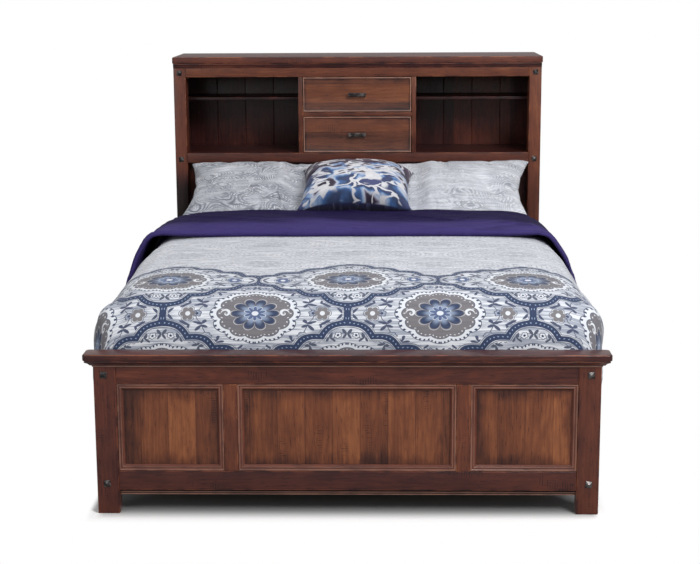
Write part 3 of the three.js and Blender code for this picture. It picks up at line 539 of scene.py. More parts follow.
def dress_iron():
    pulls = iron_material("iron", (0.030, 0.026, 0.027), (0.135, 0.118, 0.112), 0.26, 0.0009)
    nails = iron_material("nail_iron", (0.030, 0.027, 0.028), (0.150, 0.138, 0.132), 0.20, 0.0004)
    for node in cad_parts:
        if "_nail_" in node:
            dress(node, nails)
        elif node.endswith("_pull"):
            dress(node, pulls)


# Cloth patterns

REPEAT_WIDTH = 0.62
REPEAT_HEIGHT = 0.42
SCALLOP = 0.092
MEDALLION = (0.145, 0.102)
RING_SCALE = 0.12
LINE_BLUR = 0.0006


def line(distance, width):
    """A line along which a distance is 0."""
    return abs(distance).step(width / 2 + LINE_BLUR, width / 2 - LINE_BLUR)


def filled(distance):
    """The inside of an outline, where a distance is below 0."""
    return distance.step(LINE_BLUR, -LINE_BLUR)


def leaf_pair(x, y, spread, reach, width, lean):
    """A pair of leaves that part from a stem at x = 0, as a signed distance."""
    beside = abs(x) - spread
    along = beside * math.cos(lean) + y * math.sin(lean)
    across = y * math.cos(lean) - beside * math.sin(lean)
    return (length(along / reach, across / width) - 1) * width


def blossom(x, y, petals, size, depth):
    """A flower as a signed distance, and the distance from its middle."""
    reach = length(x, y)
    petal = abs((y.angle_from(x) * (petals / 2)).cos())
    return reach - petal.power(0.6) * depth - (size - depth), reach


def ornament(x, t):
    """A staggered trellis of pointed compartments, each with a medallion in a wreath of flowers
    and leaves. Gives its masks by name. T runs down the cloth, and a compartment's middle lies at
    x = 0 and t = 0."""
    half = REPEAT_WIDTH / 2
    tall = REPEAT_HEIGHT / 2
    turn = 2 * math.pi / REPEAT_HEIGHT
    beside = x.mirrored(half)
    below = t.mirrored(tall)
    slope = (t * turn).sin() * (half / 2 * turn)
    steep = (slope * slope + 1).math("SQRT")
    bound = (beside - ((t * turn).cos() + 1) * (half / 2)) / steep
    run = below * 0.56 - beside * 0.83
    bound = bound - abs((run * (math.pi / SCALLOP)).sin()) * 0.018 + 0.008
    odd = bound.step(-0.0005, 0.0005)
    inner = beside + odd * (half - beside * 2)
    even_t = t.wrapped(tall)
    odd_t = (t + tall).wrapped(tall) * -1
    down = even_t + odd * (odd_t - even_t)
    clock = down.angle_from(inner)
    radius = length(inner, down)
    share_x, share_t = inner / MEDALLION[0], down / MEDALLION[1]
    lobe = abs((share_t.angle_from(share_x) * 6).cos())
    reach = length(share_x, share_t) - lobe.power(0.7) * 0.09 + 0.045
    outside = (reach - 1) * RING_SCALE
    clear = abs(bound).step(0.018, 0.021)
    marks = {"odd": odd, "bound": bound}

    marks["band"] = filled(abs(bound) - 0.0105)
    marks["beads"] = filled(length(run.wrapped(0.0065), bound) - 0.0024)
    marks["lining"] = line(abs(bound) - 0.0155, 0.0022).most(line(abs(bound) - 0.0105, 0.0022))

    # The medallion's body, its toothed rim and the dots inside it
    marks["rim"] = filled(abs(outside + 0.0095) - 0.0095)
    marks["teeth"] = (clock * 52).sin().step(0.0, 0.5) * filled(abs(outside + 0.0045) - 0.0035)
    marks["rim_lines"] = line(outside, 0.0026).most(line(outside + 0.019, 0.0024))
    marks["body"] = filled(outside + 0.019)
    dots = length(clock.wrapped(math.pi / 44) * radius, outside + 0.026)
    marks["dots"] = filled(dots - 0.0022)

    # A flower of long petals over a ring of short ones, and a scroll on either side
    spoke = length(inner * 0.74, down)
    spoke_clock = down.angle_from(inner * 0.74)
    petal = abs((spoke_clock * 5).cos())
    petal_edge = petal.power(0.5) * 0.024 + 0.034
    marks["petals"] = filled(spoke - petal_edge) * petal.step(0.12, 0.26)
    marks["petal_tip"] = (spoke / petal_edge).step(0.42, 0.85)
    marks["petal_line"] = line(spoke - petal_edge - 0.004, 0.0018)
    short = spoke - abs((spoke_clock * 5).sin()) * 0.014 - 0.014
    marks["short_petals"] = filled(short)
    marks["short_line"] = line(short, 0.0018)
    marks["seed_pod"] = filled(spoke - 0.0085)
    curl_x = inner - 0.098
    curl_reach = length(curl_x, down)
    curl_turn = down.angle_from(curl_x) + curl_reach.math("LOGARITHM", math.e) * 3.0
    marks["scroll"] = curl_turn.sin().step(0.1, 0.4) * filled(curl_reach - 0.0175)
    marks["hatching"] = line((outside + 0.0035).wrapped(0.0035), 0.0014)

    # The wreath: a vine with flowers and pairs of leaves, and larger leaves beyond it
    wreath = outside - 0.036
    near = filled(abs(wreath) - 0.028)
    flower, eye = blossom(clock.wrapped(math.pi / 14) * radius, wreath, 5, 0.0125, 0.0045)
    leaf_x = (clock + math.pi / 14).wrapped(math.pi / 14) * radius
    small = leaf_pair(leaf_x, wreath - 0.0095, 0.0090, 0.0130, 0.0052, 1.0)
    tiny = leaf_pair(leaf_x, wreath + 0.0085, 0.0080, 0.0110, 0.0046, -1.0)
    far_x = clock.wrapped(math.pi / 16) * radius
    between_x = (clock + math.pi / 16).wrapped(math.pi / 16) * radius
    large = leaf_pair(between_x, outside - 0.080, 0.0115, 0.0160, 0.0056, 0.6)
    outer = leaf_pair(far_x, outside - 0.112, 0.0120, 0.0140, 0.0046, -0.5)
    wreath_leaf = filled(small.least(tiny)) * near
    marks["leaf"] = wreath_leaf.most(filled(large.least(outer))) * clear
    marks["vine"] = line(wreath + (clock * 14).sin() * 0.004, 0.0024) * clear
    marks["flower"] = filled(flower) * clear
    marks["flower_line"] = line(flower, 0.0026) * clear
    marks["flower_eye"] = filled(eye - 0.0044) * clear

    # A large rosette in each flank, and rings all over
    rosette, rosette_eye = blossom(inner - 0.226, down, 6, 0.026, 0.009)
    marks["rosette"] = filled(rosette) * clear
    marks["rosette_line"] = line(rosette - 0.0045, 0.0022) * clear
    marks["rosette_eye"] = filled(rosette_eye - 0.0085) * clear
    for name, count, width in (("contour", 4, 0.0030), ("rings", 8, 0.0046)):
        marks[name] = line((reach * count).wrapped(0.5) * (RING_SCALE / count), width) * clear
    return marks


def slub_streaks(x, t, seed):
    """Streaks along the weft, as in slubbed yarn."""
    broad = noise_field(x * 4.5, t * 70, seed, detail=3, roughness=0.62)
    fine = noise_field(x * 13, t * 230, seed + 4)
    return broad * 0.65 + fine * 0.35


def weave(x, t, pitch):
    """The height of a plain weave."""
    turn = 2 * math.pi / pitch
    return (x * turn).sin() * (t * turn).sin() * 0.5 + 0.5


def sham_marks(x, t, down, seed):
    """The ornament swirled, with contour lines, the light between them and finer lines."""
    swirl, swirl_t = (noise_field(x * 6, t * 6, seed + more) - 0.5 for more in (0, 9))
    marks = ornament(
        (x + swirl * 0.09) * 0.8, (down + swirl_t * 0.09) * 0.8 - REPEAT_HEIGHT / 2)
    relief = noise_field(x * 2.6, t * 4.0, seed + 3, roughness=0.36) * 74 + t * 16 + x * 7
    hatch = noise_field(x * 7, t * 9, seed + 6, roughness=0.40) * 30 + t * 34
    marks["relief"] = abs(relief.wrapped(0.5)).step(0.28, 0.11)
    marks["between"] = abs((relief + 0.5).wrapped(0.5)).step(0.26, 0.10)
    marks["hatch"] = abs(hatch.wrapped(0.5)).step(0.30, 0.12)
    return marks


TONAL_MARKS = ["leaf", "flower_line", "rosette_line", "petal_line", "scroll", "teeth", "dots",
               "vine", "short_line"]
COMFORTER_MARKS = ["contour", "rings", "petals"]


def printed_material(name, seed, tonal_share, border_top=None, painted_light_level=1.0, shade=0.0):
    """Slubbed pale cotton: a tonal print all over, and a coloured border below a line.

    Without a border it is a sham's: shade paints shade on its lower half, and its ground gets a
    level of painted light and patches of painted shade.
    """
    material, shader = new_material(name, {
        "Specular IOR Level": 0.25, "Sheen Weight": 0.15, "Sheen Roughness": 0.5})
    x, t, _ = cloth_place(shader)
    bordered = border_top is not None
    streaks = slub_streaks(x, t, seed)
    # Painted light: the ground is scaled by a level below 1 on the left sham and above 1 on the
    # right.
    dark, pale = (
        tuple(value * painted_light_level for value in colour) for colour in (GROUND_DARK, GROUND_PALE))
    ground = mixed(streaks.step(0.36, 0.62), dark, pale)
    if bordered:
        down = t * -1 + border_top
        marks = ornament(x, down - REPEAT_HEIGHT / 2)
        broken = noise_field(x * 55, t * 130, seed).step(0.36, 0.6)
    else:
        marks = sham_marks(x, t, t * -1, seed)
        broken = noise_field(x * 7, t * 13, seed, detail=4).step(0.26, 0.64)
    tonal = marks["lining"].most(marks["rim_lines"])
    for mark in TONAL_MARKS + COMFORTER_MARKS * bordered:
        tonal = tonal.most(marks[mark] * 0.85)
    if not bordered:
        tonal = (tonal * 0.7).most(marks["relief"] * 0.84).most(marks["hatch"] * 0.72)
        # Painted shade: patches that darken the sham's ground, stronger with its print strength.
        painted_shade_patches = noise_field(x * 10, t * 12, seed + 2, detail=4)
        ground = mixed(painted_shade_patches.step(0.56, 0.34) * tonal_share * 0.26, ground, SLATE)
        # Painted shade on the sham's lower half
        ground = mixed(t.step(0.10, -0.20) * shade, ground, SLATE)
        ground = mixed(marks["between"] * broken * 0.7 * painted_light_level, ground, BRIGHT)
    line_colour = LINE_GREY if bordered else LINE_DARK
    colour = mixed(tonal * broken * tonal_share, ground, line_colour)
    if bordered:
        under = down.step(REPEAT_HEIGHT / 2 - 0.002, REPEAT_HEIGHT / 2 + 0.002)
        crown = down.step(0.0160, 0.0180)
        inside = under.most((marks["odd"] * -1 + 1) * crown)
        inside = inside.most(abs(marks["bound"]).step(0.0175, 0.0165) * crown)
        colour = mixed(inside, colour, border_colours(marks, ground, streaks.step(0.56, 0.44)))
    crumple = noise_field(x * 22, t * 22, seed, detail=4, roughness=0.6)
    height = streaks * 0.25 + weave(x, t, 0.0022) * 0.12 + crumple * 0.9
    finish_surface(shader, colour, streaks * 0.1 + 0.74, height, 0.0022, 0.5)
    return material


def border_colours(marks, ground, bands):
    """The border's colours over the streaked ground."""
    odd = marks["odd"]
    colour = mixed(bands * 0.8, mixed(0.5, ground, BRIGHT), (0.265, 0.300, 0.380))
    body = mixed(marks["hatching"] * 0.5, TAUPE, (0.120, 0.115, 0.130))
    layers = [
        ("vine", SLATE), ("leaf", mixed(odd, SLATE, (0.070, 0.085, 0.150))),
        ("flower", mixed(odd, BRIGHT, (0.330, 0.370, 0.470))), ("flower_line", SLATE),
        ("flower_eye", NAVY), ("rosette", mixed(odd, MID_BLUE, TAUPE)),
        ("rosette_line", SLATE), ("rosette_eye", BRIGHT), ("rim", BRIGHT), ("teeth", NAVY),
        ("body", mixed(bands * 0.5, body, (0.125, 0.125, 0.150))), ("dots", BRIGHT),
        ("scroll", BRIGHT), ("petal_line", PALE_TAUPE),
        ("petals", mixed(marks["petal_tip"], PALE_BLUE, mixed(bands * 0.4, NAVY, SLATE))),
        ("short_petals", MID_BLUE), ("short_line", BRIGHT), ("seed_pod", BRIGHT),
        ("rim_lines", SLATE), ("lining", SLATE), ("band", NAVY), ("beads", PALE_BLUE),
    ]
    for name, paint in layers:
        colour = mixed(marks[name], colour, paint)
    return colour


def purple_material():
    """Purple cotton sateen, with painted light towards its free edge and painted shade towards the
    head.
    """
    material, shader = new_material("purple_cloth", {
        "Specular IOR Level": 0.06, "Sheen Weight": 0.01, "Sheen Roughness": 0.35,
        "Sheen Tint": (0.55, 0.48, 0.95, 1)})
    x, t, _ = cloth_place(shader)
    yarn = noise_field(x * 9, t * 260, 2, detail=3)
    share = noise_field(x * 5, t * 9, 7) * 0.6 + yarn * 0.4
    light = mixed(share, (0.0370, 0.0270, 0.1150), (0.0740, 0.0540, 0.2080))
    deep = mixed(share, (0.0090, 0.0055, 0.0320), (0.0155, 0.0095, 0.0530))
    drift = noise_field(x * 2.2, t * 3, 12)
    slant = noise_field(x * 3 + t * 5, t * 16 - x * 7, 17)
    # Painted light and shade: deep, shaded purple towards the head and light, lit purple towards
    # the free edge, with streaks of painted crease shade that are stronger on the right.
    right = x.step(0.25, 0.55) * 0.5 + 0.08
    lit = t + (drift - 0.5) * 0.40 + (slant - 0.5) * right
    colour = mixed(lit.step(0.37, 0.02) * 0.95, deep, light)
    crumple = noise_field(x * 16, t * 22, 3, detail=3)
    creases = abs(slant - 0.5).step(0.10, 0.0) * 0.9
    height = crumple * 0.8 + weave(x, t, 0.0018) * 0.1 + creases
    finish_surface(shader, colour, yarn * 0.12 + 0.62, height, 0.0040, 0.6)
    return material


def blotch_material():
    """Cotton with watercolour blotches, on a plain navy back."""
    material, shader = new_material("blotched_cloth", {
        "Specular IOR Level": 0.3, "Sheen Weight": 0.1})
    x, t, back = cloth_place(shader)
    warp_x, warp_t = (noise_field(x * 8, t * 8, seed, detail=3) - 0.5 for seed in (1, 8))
    u = x + warp_x * 0.14
    v = t + warp_t * 0.07
    first = noise_field(u * 4.5, v * 8.5, 3)
    second = noise_field(u * 5.5, v * 9, 11, detail=1.5)
    gap = noise_field(u * 6, v * 15, 23, roughness=0.55)
    wash = noise_field(x * 26, t * 26, 5, detail=4, roughness=0.65)
    hue = first + (wash - 0.5) * 0.07 - t.step(-0.20, 0.20) * 0.26 + 0.10
    sky = mixed(wash.step(0.35, 0.65), (0.060, 0.155, 0.370), (0.300, 0.400, 0.590))
    upper = t.step(-0.05, 0.16)
    open_sky = (second + (wash - 0.5) * 0.1 - upper * 0.12).step(0.56, 0.61)
    colour = mixed(open_sky, ramp(hue, BLOTCH_STOPS), sky)
    white = mixed(wash, (0.46, 0.47, 0.53), (0.88, 0.87, 0.88))
    strokes = abs(gap - 0.5).step(0.036, 0.020).most((second + upper * 0.07).step(0.42, 0.39))
    colour = mixed(strokes, colour, white)
    bled = noise_field(x * 34, t * 5, 31, detail=3).step(0.50, 0.72)
    navy_back = mixed(bled, (0.024, 0.024, 0.085), (0.150, 0.160, 0.290))
    colour = mixed(back.step(0.2, 0.6), colour, navy_back)
    crumple = noise_field(x * 26, t * 26, 3, detail=3)
    height = crumple * 0.8 + weave(x, t, 0.0018) * 0.1
    finish_surface(shader, colour, wash * 0.12 + 0.58, height, 0.002, 0.5)
    return material


QUILT_HALF = 0.055


def ticking_material():
    """Woven ticking with a raised diamond quilt."""
    material, shader = new_material("ticking", {"Specular IOR Level": 0.25, "Sheen Weight": 0.1})
    x, y, z = object_place(shader)
    yarn = noise_field(x * 240, y * 240, z * 240)
    broad = noise_field(x * 6, y * 6, z * 6, detail=3)
    colour = mixed(yarn * 0.5 + broad * 0.5, (0.60, 0.575, 0.52), (0.76, 0.735, 0.67))
    quilt = abs(x + y).mirrored(QUILT_HALF).least((x - y + 40).mirrored(QUILT_HALF))
    height = yarn * 0.15 + quilt.step(0.0, 0.012) * 0.85
    finish_surface(shader, colour, 0.85, height, 0.003, 0.6)
    return material


# Mesh helpers

def monotone(places, values, at):
    """A smooth curve through the values that overshoots none of them."""
    places = np.asarray(places, float)
    values = np.asarray(values, float)
    step = np.diff(places)
    rise = np.diff(values) / step
    slope = np.zeros(len(values))
    inner = rise[:-1] * rise[1:] > 0
    weight = step[:-1] + 2 * step[1:], 2 * step[:-1] + step[1:]
    with np.errstate(divide="ignore", invalid="ignore"):
        mean = (weight[0] + weight[1]) / (weight[0] / rise[:-1] + weight[1] / rise[1:])
    slope[1:-1] = np.where(inner, mean, 0)
    slope[0], slope[-1] = rise[0], rise[-1]
    at = np.asarray(at, float)
    k = np.clip(np.searchsorted(places, at, side="right") - 1, 0, len(step) - 1)
    s = np.clip((at - places[k]) / step[k], 0, 1)
    basis = 2 * s**3 - 3 * s**2 + 1, s**3 - 2 * s**2 + s, 3 * s**2 - 2 * s**3, s**3 - s**2
    return (basis[0] * values[k] + basis[1] * step[k] * slope[k]
            + basis[2] * values[k + 1] + basis[3] * step[k] * slope[k + 1])


def smoothstep(value, low, high):
    s = np.clip((value - low) / (high - low), 0, 1)
    return s * s * (3 - 2 * s)


def bell(value, reach):
    """1 at 0, and falling off smoothly within a reach."""
    return np.exp(-(value / reach) ** 2)


def columns_at(table, parameters):
    """The columns of a table at parameters between its rows."""
    rows = np.arange(len(table))
    return [monotone(rows, column, parameters) for column in table.T]


def even_parameters(curve, table):
    """Parameters between a table's rows at which a curve's points lie evenly on the cloth."""
    parameters = np.linspace(0, len(table) - 1, 2000)
    points = curve(parameters)
    run = np.concatenate([[0], np.cumsum(np.linalg.norm(np.diff(points, axis=0), axis=1))])
    count = max(2, round(run[-1] / CLOTH_SPACING) + 1)
    return np.interp(np.linspace(0, run[-1], count), run, parameters)


def grid_normals(grid):
    """Unit normals of a grid of points, out of the side that its rows and columns turn up."""
    normal = np.cross(np.gradient(grid, axis=1), np.gradient(grid, axis=0))
    return normal / np.maximum(np.linalg.norm(normal, axis=2, keepdims=True), 1e-9)


def arc_lengths(grid, axis):
    """How far each point lies along its row or column."""
    step = np.linalg.norm(np.diff(grid, axis=axis), axis=2)
    pad = [(1, 0), (0, 0)] if axis == 0 else [(0, 0), (1, 0)]
    return np.pad(np.cumsum(step, axis=axis), pad)


def wobble(grid, stretch, scale, seed):
    """Smooth noise from -1 to 1 at each point of a grid, its axes stretched first."""
    flat = (grid * np.array(stretch)).reshape(-1, 3) * scale
    values = [noise.noise(Vector(p) + Vector((seed, 2 * seed, 3 * seed))) for p in flat]
    return np.array(values).reshape(grid.shape[:2])


def mesh_piece(name, points, faces, cloth=None):
    """A smooth-shaded mesh object, with the place of each point on its flat cloth."""
    mesh = bpy.data.meshes.new(name)
    mesh.from_pydata([tuple(p) for p in points], [], faces)
    if cloth is not None:
        attribute = mesh.attributes.new("cloth", "FLOAT_VECTOR", "POINT")
        attribute.data.foreach_set("vector", np.asarray(cloth, np.float32).ravel())
    mesh.polygons.foreach_set("use_smooth", [True] * len(mesh.polygons))
    mesh.update()
    return new_object(name, mesh)


def quads(first, second):
    """The faces between two equal rows of point numbers."""
    return np.stack([first[:-1], first[1:], second[1:], second[:-1]], axis=1).tolist()


def tube_piece(name, loops):
    """A tube through equal closed loops of points, with both its ends filled."""
    count = len(loops[0])
    ring = np.append(np.arange(count), 0)
    faces = []
    for start in range(0, (len(loops) - 1) * count, count):
        faces += quads(start + ring, start + count + ring)
    faces += [list(range(count))[::-1], list(range((len(loops) - 1) * count, len(loops) * count))]
    return mesh_piece(name, np.concatenate(loops), faces)


def closed_sheet(name, upper, lower, cloth):
    """Two equal grids of points, sewn together along their borders."""
    rows, columns = upper.shape[:2]
    top = np.arange(rows * columns).reshape(rows, columns)
    bottom = top + rows * columns
    faces = []
    for i in range(rows - 1):
        faces += quads(top[i], top[i + 1]) + quads(bottom[i + 1], bottom[i])
    faces += quads(bottom[0], top[0]) + quads(top[-1], bottom[-1])
    faces += quads(top[:, 0], bottom[:, 0]) + quads(bottom[:, -1], top[:, -1])
    points = np.concatenate([upper.reshape(-1, 3), lower.reshape(-1, 3)])
    flat = np.concatenate([cloth.reshape(-1, 3)] * 2)
    return mesh_piece(name, points, faces, flat)


# Sheets of bedding

mattress_low, mattress_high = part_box("mattress")
comforter_low, comforter_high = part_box("comforter")
turnback_low, turnback_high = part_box("comforter_turnback")
MATTRESS_HALF = mattress_high.x
CLOTH_SPACING = 0.0095


def half_section(table, spread, drop):
    """Even parameters of a half section and the side that each lies on, from left to right hem."""
    def curve(parameters):
        over, out, fall, *_ = columns_at(table, parameters)
        return np.stack([MATTRESS_HALF * over + spread * out, fall * drop], axis=1)

    half = even_parameters(curve, table)
    inner = half[1:]
    sides = np.concatenate([-np.ones(len(inner)), np.ones(len(half))])
    return np.concatenate([inner[::-1], half]), sides


def quilted_sheet(name, surface, swell, thickness, sewn_edge, straight):
    """A padded sheet, drawn together along its sewn edges, and its places on the flat cloth.

    Its upper face swells beyond the surface. A straight sheet is as long everywhere as in its
    middle.
    """
    normals = grid_normals(surface)
    middle = surface.shape[1] // 2
    across = arc_lengths(surface, 1)
    across = across - across[:, [middle]]
    down = arc_lengths(surface, 0)
    if straight:
        down = np.broadcast_to(down[:, [middle]], down.shape)
    edge = np.minimum(across.max(axis=1, keepdims=True) - np.abs(across), down)
    rounding = np.sqrt(1 - (1 - np.clip(edge / sewn_edge, 0.003, 1)) ** 2)
    upper = surface + normals * (swell - thickness * 0.5 * (1 - rounding))[:, :, None]
    lower = surface - normals * (thickness * (0.5 + 0.5 * rounding))[:, :, None]
    piece = closed_sheet(
        name, upper, lower, np.stack([across, down, np.zeros_like(across)], axis=2))
    return piece, across, down


def print_flat_size(title, across, down):
    flat = across.max() * 2, down.max()
    print(f"{title}, flat width and length", *(round(float(v), 3) for v in flat))


# Comforter

COMFORTER_TOP = comforter_high.z
COMFORTER_HEM = comforter_low.z + 0.0008
COMFORTER_FOOT = comforter_low.y
COMFORTER_HEAD = comforter_high.y
COMFORTER_LOFT = 0.062
COMFORTER_SIDE_THICKNESS = 0.024
COMFORTER_SPREAD = 0.140
COMFORTER_PRESSED_SPREAD = 0.126
COMFORTER_PRESS = 0.007
COMFORTER_PRESS_RUN = 0.110
COMFORTER_FOLD_DEPTH = 0.009
COMFORTER_FOLD_LENGTH = 0.410
COMFORTER_CORNER_PUFF = 0.017
COMFORTER_SHIFT = -0.005
COMFORTER_SEWN_EDGE = 0.034
BORDER_TOP_PLACE = 0.515 - 1.2365
FOOT_SLOPE = 0.560
FOOT_DROP = 0.285
TURNBACK_FOOT = turnback_low.y + 0.0007

# Half of the comforter's cross-section: shares of the mattress's half width, of the spread
# beyond it, of the drop to the hem, and of the loft
COMFORTER_HALF = np.array([
    (0, 0, 0, 1), (0.22, 0, 0, 1), (0.44, 0, 0, 1), (0.64, 0, 0.003, 0.95), (0.8, 0, 0.01, 0.9),
    (0.905, 0, 0.028, 0.7), (0.975, 0, 0.056, 0.4), (1, 0.2, 0.125, 0.12), (1, 0.45, 0.225, 0),
    (1, 0.63, 0.335, 0), (1, 0.8, 0.44, 0), (1, 0.94, 0.56, 0), (1, 1, 0.7, 0), (1, 1, 0.85, 0),
    (1, 1, 1, 0),
])
# How it falls at the foot: shares of the slope's length and of its drop
FOOT_SLOPE_ROWS = np.array([
    (0, 1), (0.002, 0.82), (0.011, 0.64), (0.036, 0.48), (0.077, 0.345), (0.13, 0.235),
    (0.193, 0.155), (0.273, 0.1), (0.39, 0.06), (0.55, 0.028), (0.76, 0.004), (1, 0),
])
# How far its sides stand out near the foot: shares of the slope's length and of the spread
FOOT_SPREAD_ROWS = np.array([
    (0, 0.54), (0.036, 0.6), (0.13, 0.68), (0.27, 0.8), (0.5, 0.96), (0.7, 1), (1, 1),
])
# Rises and hollows in its sides: the middle along it and in height, the reach and the amount
BILLOWS = (
    ((0.245, 0.590), (0.165, 0.055), 0.017), ((0.110, 0.648), (0.080, 0.042), 0.011),
    ((0.460, 0.655), (0.120, 0.042), -0.012), ((0.620, 0.648), (0.200, 0.050), -0.009),
    ((0.200, 0.512), (0.140, 0.030), -0.006),
)
CORNER_PUFF = ((0.17, 0.5), (0.12, 0.34), COMFORTER_CORNER_PUFF)


def hump(x, y, middle, reach, amount):
    """A smooth rise centred on a place."""
    return amount * bell(x - middle[0], reach[0]) * bell(y - middle[1], reach[1])


def pressed_share(y):
    return smoothstep(y, TURNBACK_FOOT - COMFORTER_PRESS_RUN, TURNBACK_FOOT - 0.0003)


def comforter_rows():
    """Places along the comforter and how far its top has dropped there."""
    def foot_curve(parameters):
        run, drop = columns_at(FOOT_SLOPE_ROWS, parameters)
        return np.stack([COMFORTER_FOOT + FOOT_SLOPE * run, FOOT_DROP * drop], axis=1)

    foot = foot_curve(even_parameters(foot_curve, FOOT_SLOPE_ROWS))
    rest_start = COMFORTER_FOOT + FOOT_SLOPE
    count = round((COMFORTER_HEAD - rest_start) / CLOTH_SPACING)
    rest = np.linspace(rest_start, COMFORTER_HEAD, count + 1)[1:]
    y = np.concatenate([foot[:, 0], rest])
    return y, np.concatenate([foot[:, 1], np.zeros(len(rest))])


def comforter_surface(y, drop, parameters, sides):
    over, out, fall, _ = columns_at(COMFORTER_HALF, parameters)
    y, drop = y[:, None], drop[:, None]
    along = (y - COMFORTER_FOOT) / FOOT_SLOPE
    pressed = pressed_share(y)
    top = COMFORTER_TOP - drop - COMFORTER_PRESS * pressed
    spread = COMFORTER_SPREAD + (COMFORTER_PRESSED_SPREAD - COMFORTER_SPREAD) * pressed
    spread_share = monotone(*FOOT_SPREAD_ROWS.T, along)
    wave = np.sin(2 * np.pi * (y - COMFORTER_FOOT) / COMFORTER_FOLD_LENGTH)
    fold = COMFORTER_FOLD_DEPTH * wave * fall**2 * (1 - pressed)
    puff = hump(along, out, *CORNER_PUFF)
    x = MATTRESS_HALF * over + spread * spread_share * out + fold * spread_share + puff
    z = top - fall * (top - COMFORTER_HEM) + puff
    shift = COMFORTER_SHIFT * smoothstep(fall, 0.3, 0.6) * (1 - smoothstep(along, 1.0, 1.6))
    return np.stack([sides * x + shift, np.broadcast_to(y, x.shape), z], axis=2)


def comforter_creases(surface, y, out):
    """How far the comforter's upper face stands out beyond its plain form."""
    along = (y - COMFORTER_FOOT)[:, None]
    billow = sum(hump(along, surface[:, :, 2], *row) for row in BILLOWS)
    billow = billow * smoothstep(out, 0.05, 0.35)
    free = 1 - pressed_share(y + 0.05)[:, None]
    broad = wobble(surface, (1, 1, 0.6), 3.1, 4.0) * 0.0065
    middle = wobble(surface, (1, 0.8, 0.7), 8.0, 9.0) * 0.0028
    folds = wobble(surface, (0.4, 4.5, 0.5), 1.35, 2.0) * 0.013
    side = smoothstep(out, 0.2, 0.9) * smoothstep(along, 0.1, 0.45)
    crease = 1 - np.abs(wobble(surface, (1.3, 1, 1), 5.0, 14.0)) * 3.2
    crease = np.clip(crease, 0, 1) ** 2 * 0.0022
    return (broad + middle + folds * side - crease) * free + billow


def add_comforter():
    y, drop = comforter_rows()
    parameters, sides = half_section(
        COMFORTER_HALF, COMFORTER_SPREAD, COMFORTER_TOP - COMFORTER_HEM)
    surface = comforter_surface(y, drop, parameters, sides)
    _, out, _, loft = columns_at(COMFORTER_HALF, parameters)
    over_mattress = smoothstep(y, mattress_low.y, COMFORTER_FOOT + FOOT_SLOPE)[:, None]
    thickness = COMFORTER_SIDE_THICKNESS - COMFORTER_PRESS * pressed_share(y)[:, None]
    thickness = thickness + (COMFORTER_LOFT - COMFORTER_SIDE_THICKNESS) * loft * over_mattress
    creases = comforter_creases(surface, y, out[None, :])
    piece, across, down = quilted_sheet(
        "made_comforter", surface, creases, thickness, COMFORTER_SEWN_EDGE, True)
    border_top = float(down[np.argmin(np.abs(y - BORDER_TOP_PLACE)), 0])
    material = printed_material("printed_comforter", 3.0, 0.62, border_top)
    finish_piece(piece, material, "printed_fabric", "comforter", 0.35)
    print_flat_size("comforter", across, down)


# The comforter's turned-back end

TURNBACK_HEAD = turnback_high.y
TURNBACK_TOP = turnback_high.z
TURNBACK_HEM = turnback_low.z + 0.0007
TURNBACK_LOFT = 0.026
TURNBACK_SIDE_THICKNESS = 0.013
TURNBACK_SPREAD = 0.154
TURNBACK_ROLL_DROP = 0.062
TURNBACK_CLOSING = 0.26
TURNBACK_CREST = 0.008
TURNBACK_CREST_PLACE = 0.20
TURNBACK_CREST_REACH = 0.13
TURNBACK_SEWN_EDGE = 0.012
TURNBACK_SLANT = np.array([[0.9, 0, 0], [1.6, 0.35, 0], [0, 0, 1]])

# Half of its cross-section: over, out, and the fall at its free edge and at the fold, and loft
TURNBACK_HALF = np.array([
    (0, 0, 0, 0, 1), (0.3, 0, 0, 0, 1), (0.6, 0, 0, 0.001, 1), (0.8, 0, 0.002, 0.01, 0.95),
    (0.92, 0, 0.006, 0.045, 0.6), (1, 0, 0.02, 0.1, 0.1), (1, 0.23, 0.05, 0.165, 0),
    (1, 0.41, 0.125, 0.25, 0), (1, 0.52, 0.214, 0.33, 0), (1, 0.62, 0.305, 0.42, 0),
    (1, 0.72, 0.424, 0.53, 0), (1, 0.83, 0.593, 0.66, 0), (1, 0.94, 0.73, 0.78, 0),
    (1, 0.99, 0.865, 0.89, 0), (1, 1, 1, 1, 0),
])
# Rows along it: shares of its length and of the roll's drop at the fold
TURNBACK_ROWS = np.array([
    (0, 0), (0.2, 0), (0.4, 0), (0.6, 0), (0.8, 0), (0.92, 0), (0.955, 0.03), (0.978, 0.14),
    (0.993, 0.36), (1, 0.68), (1, 1),
])


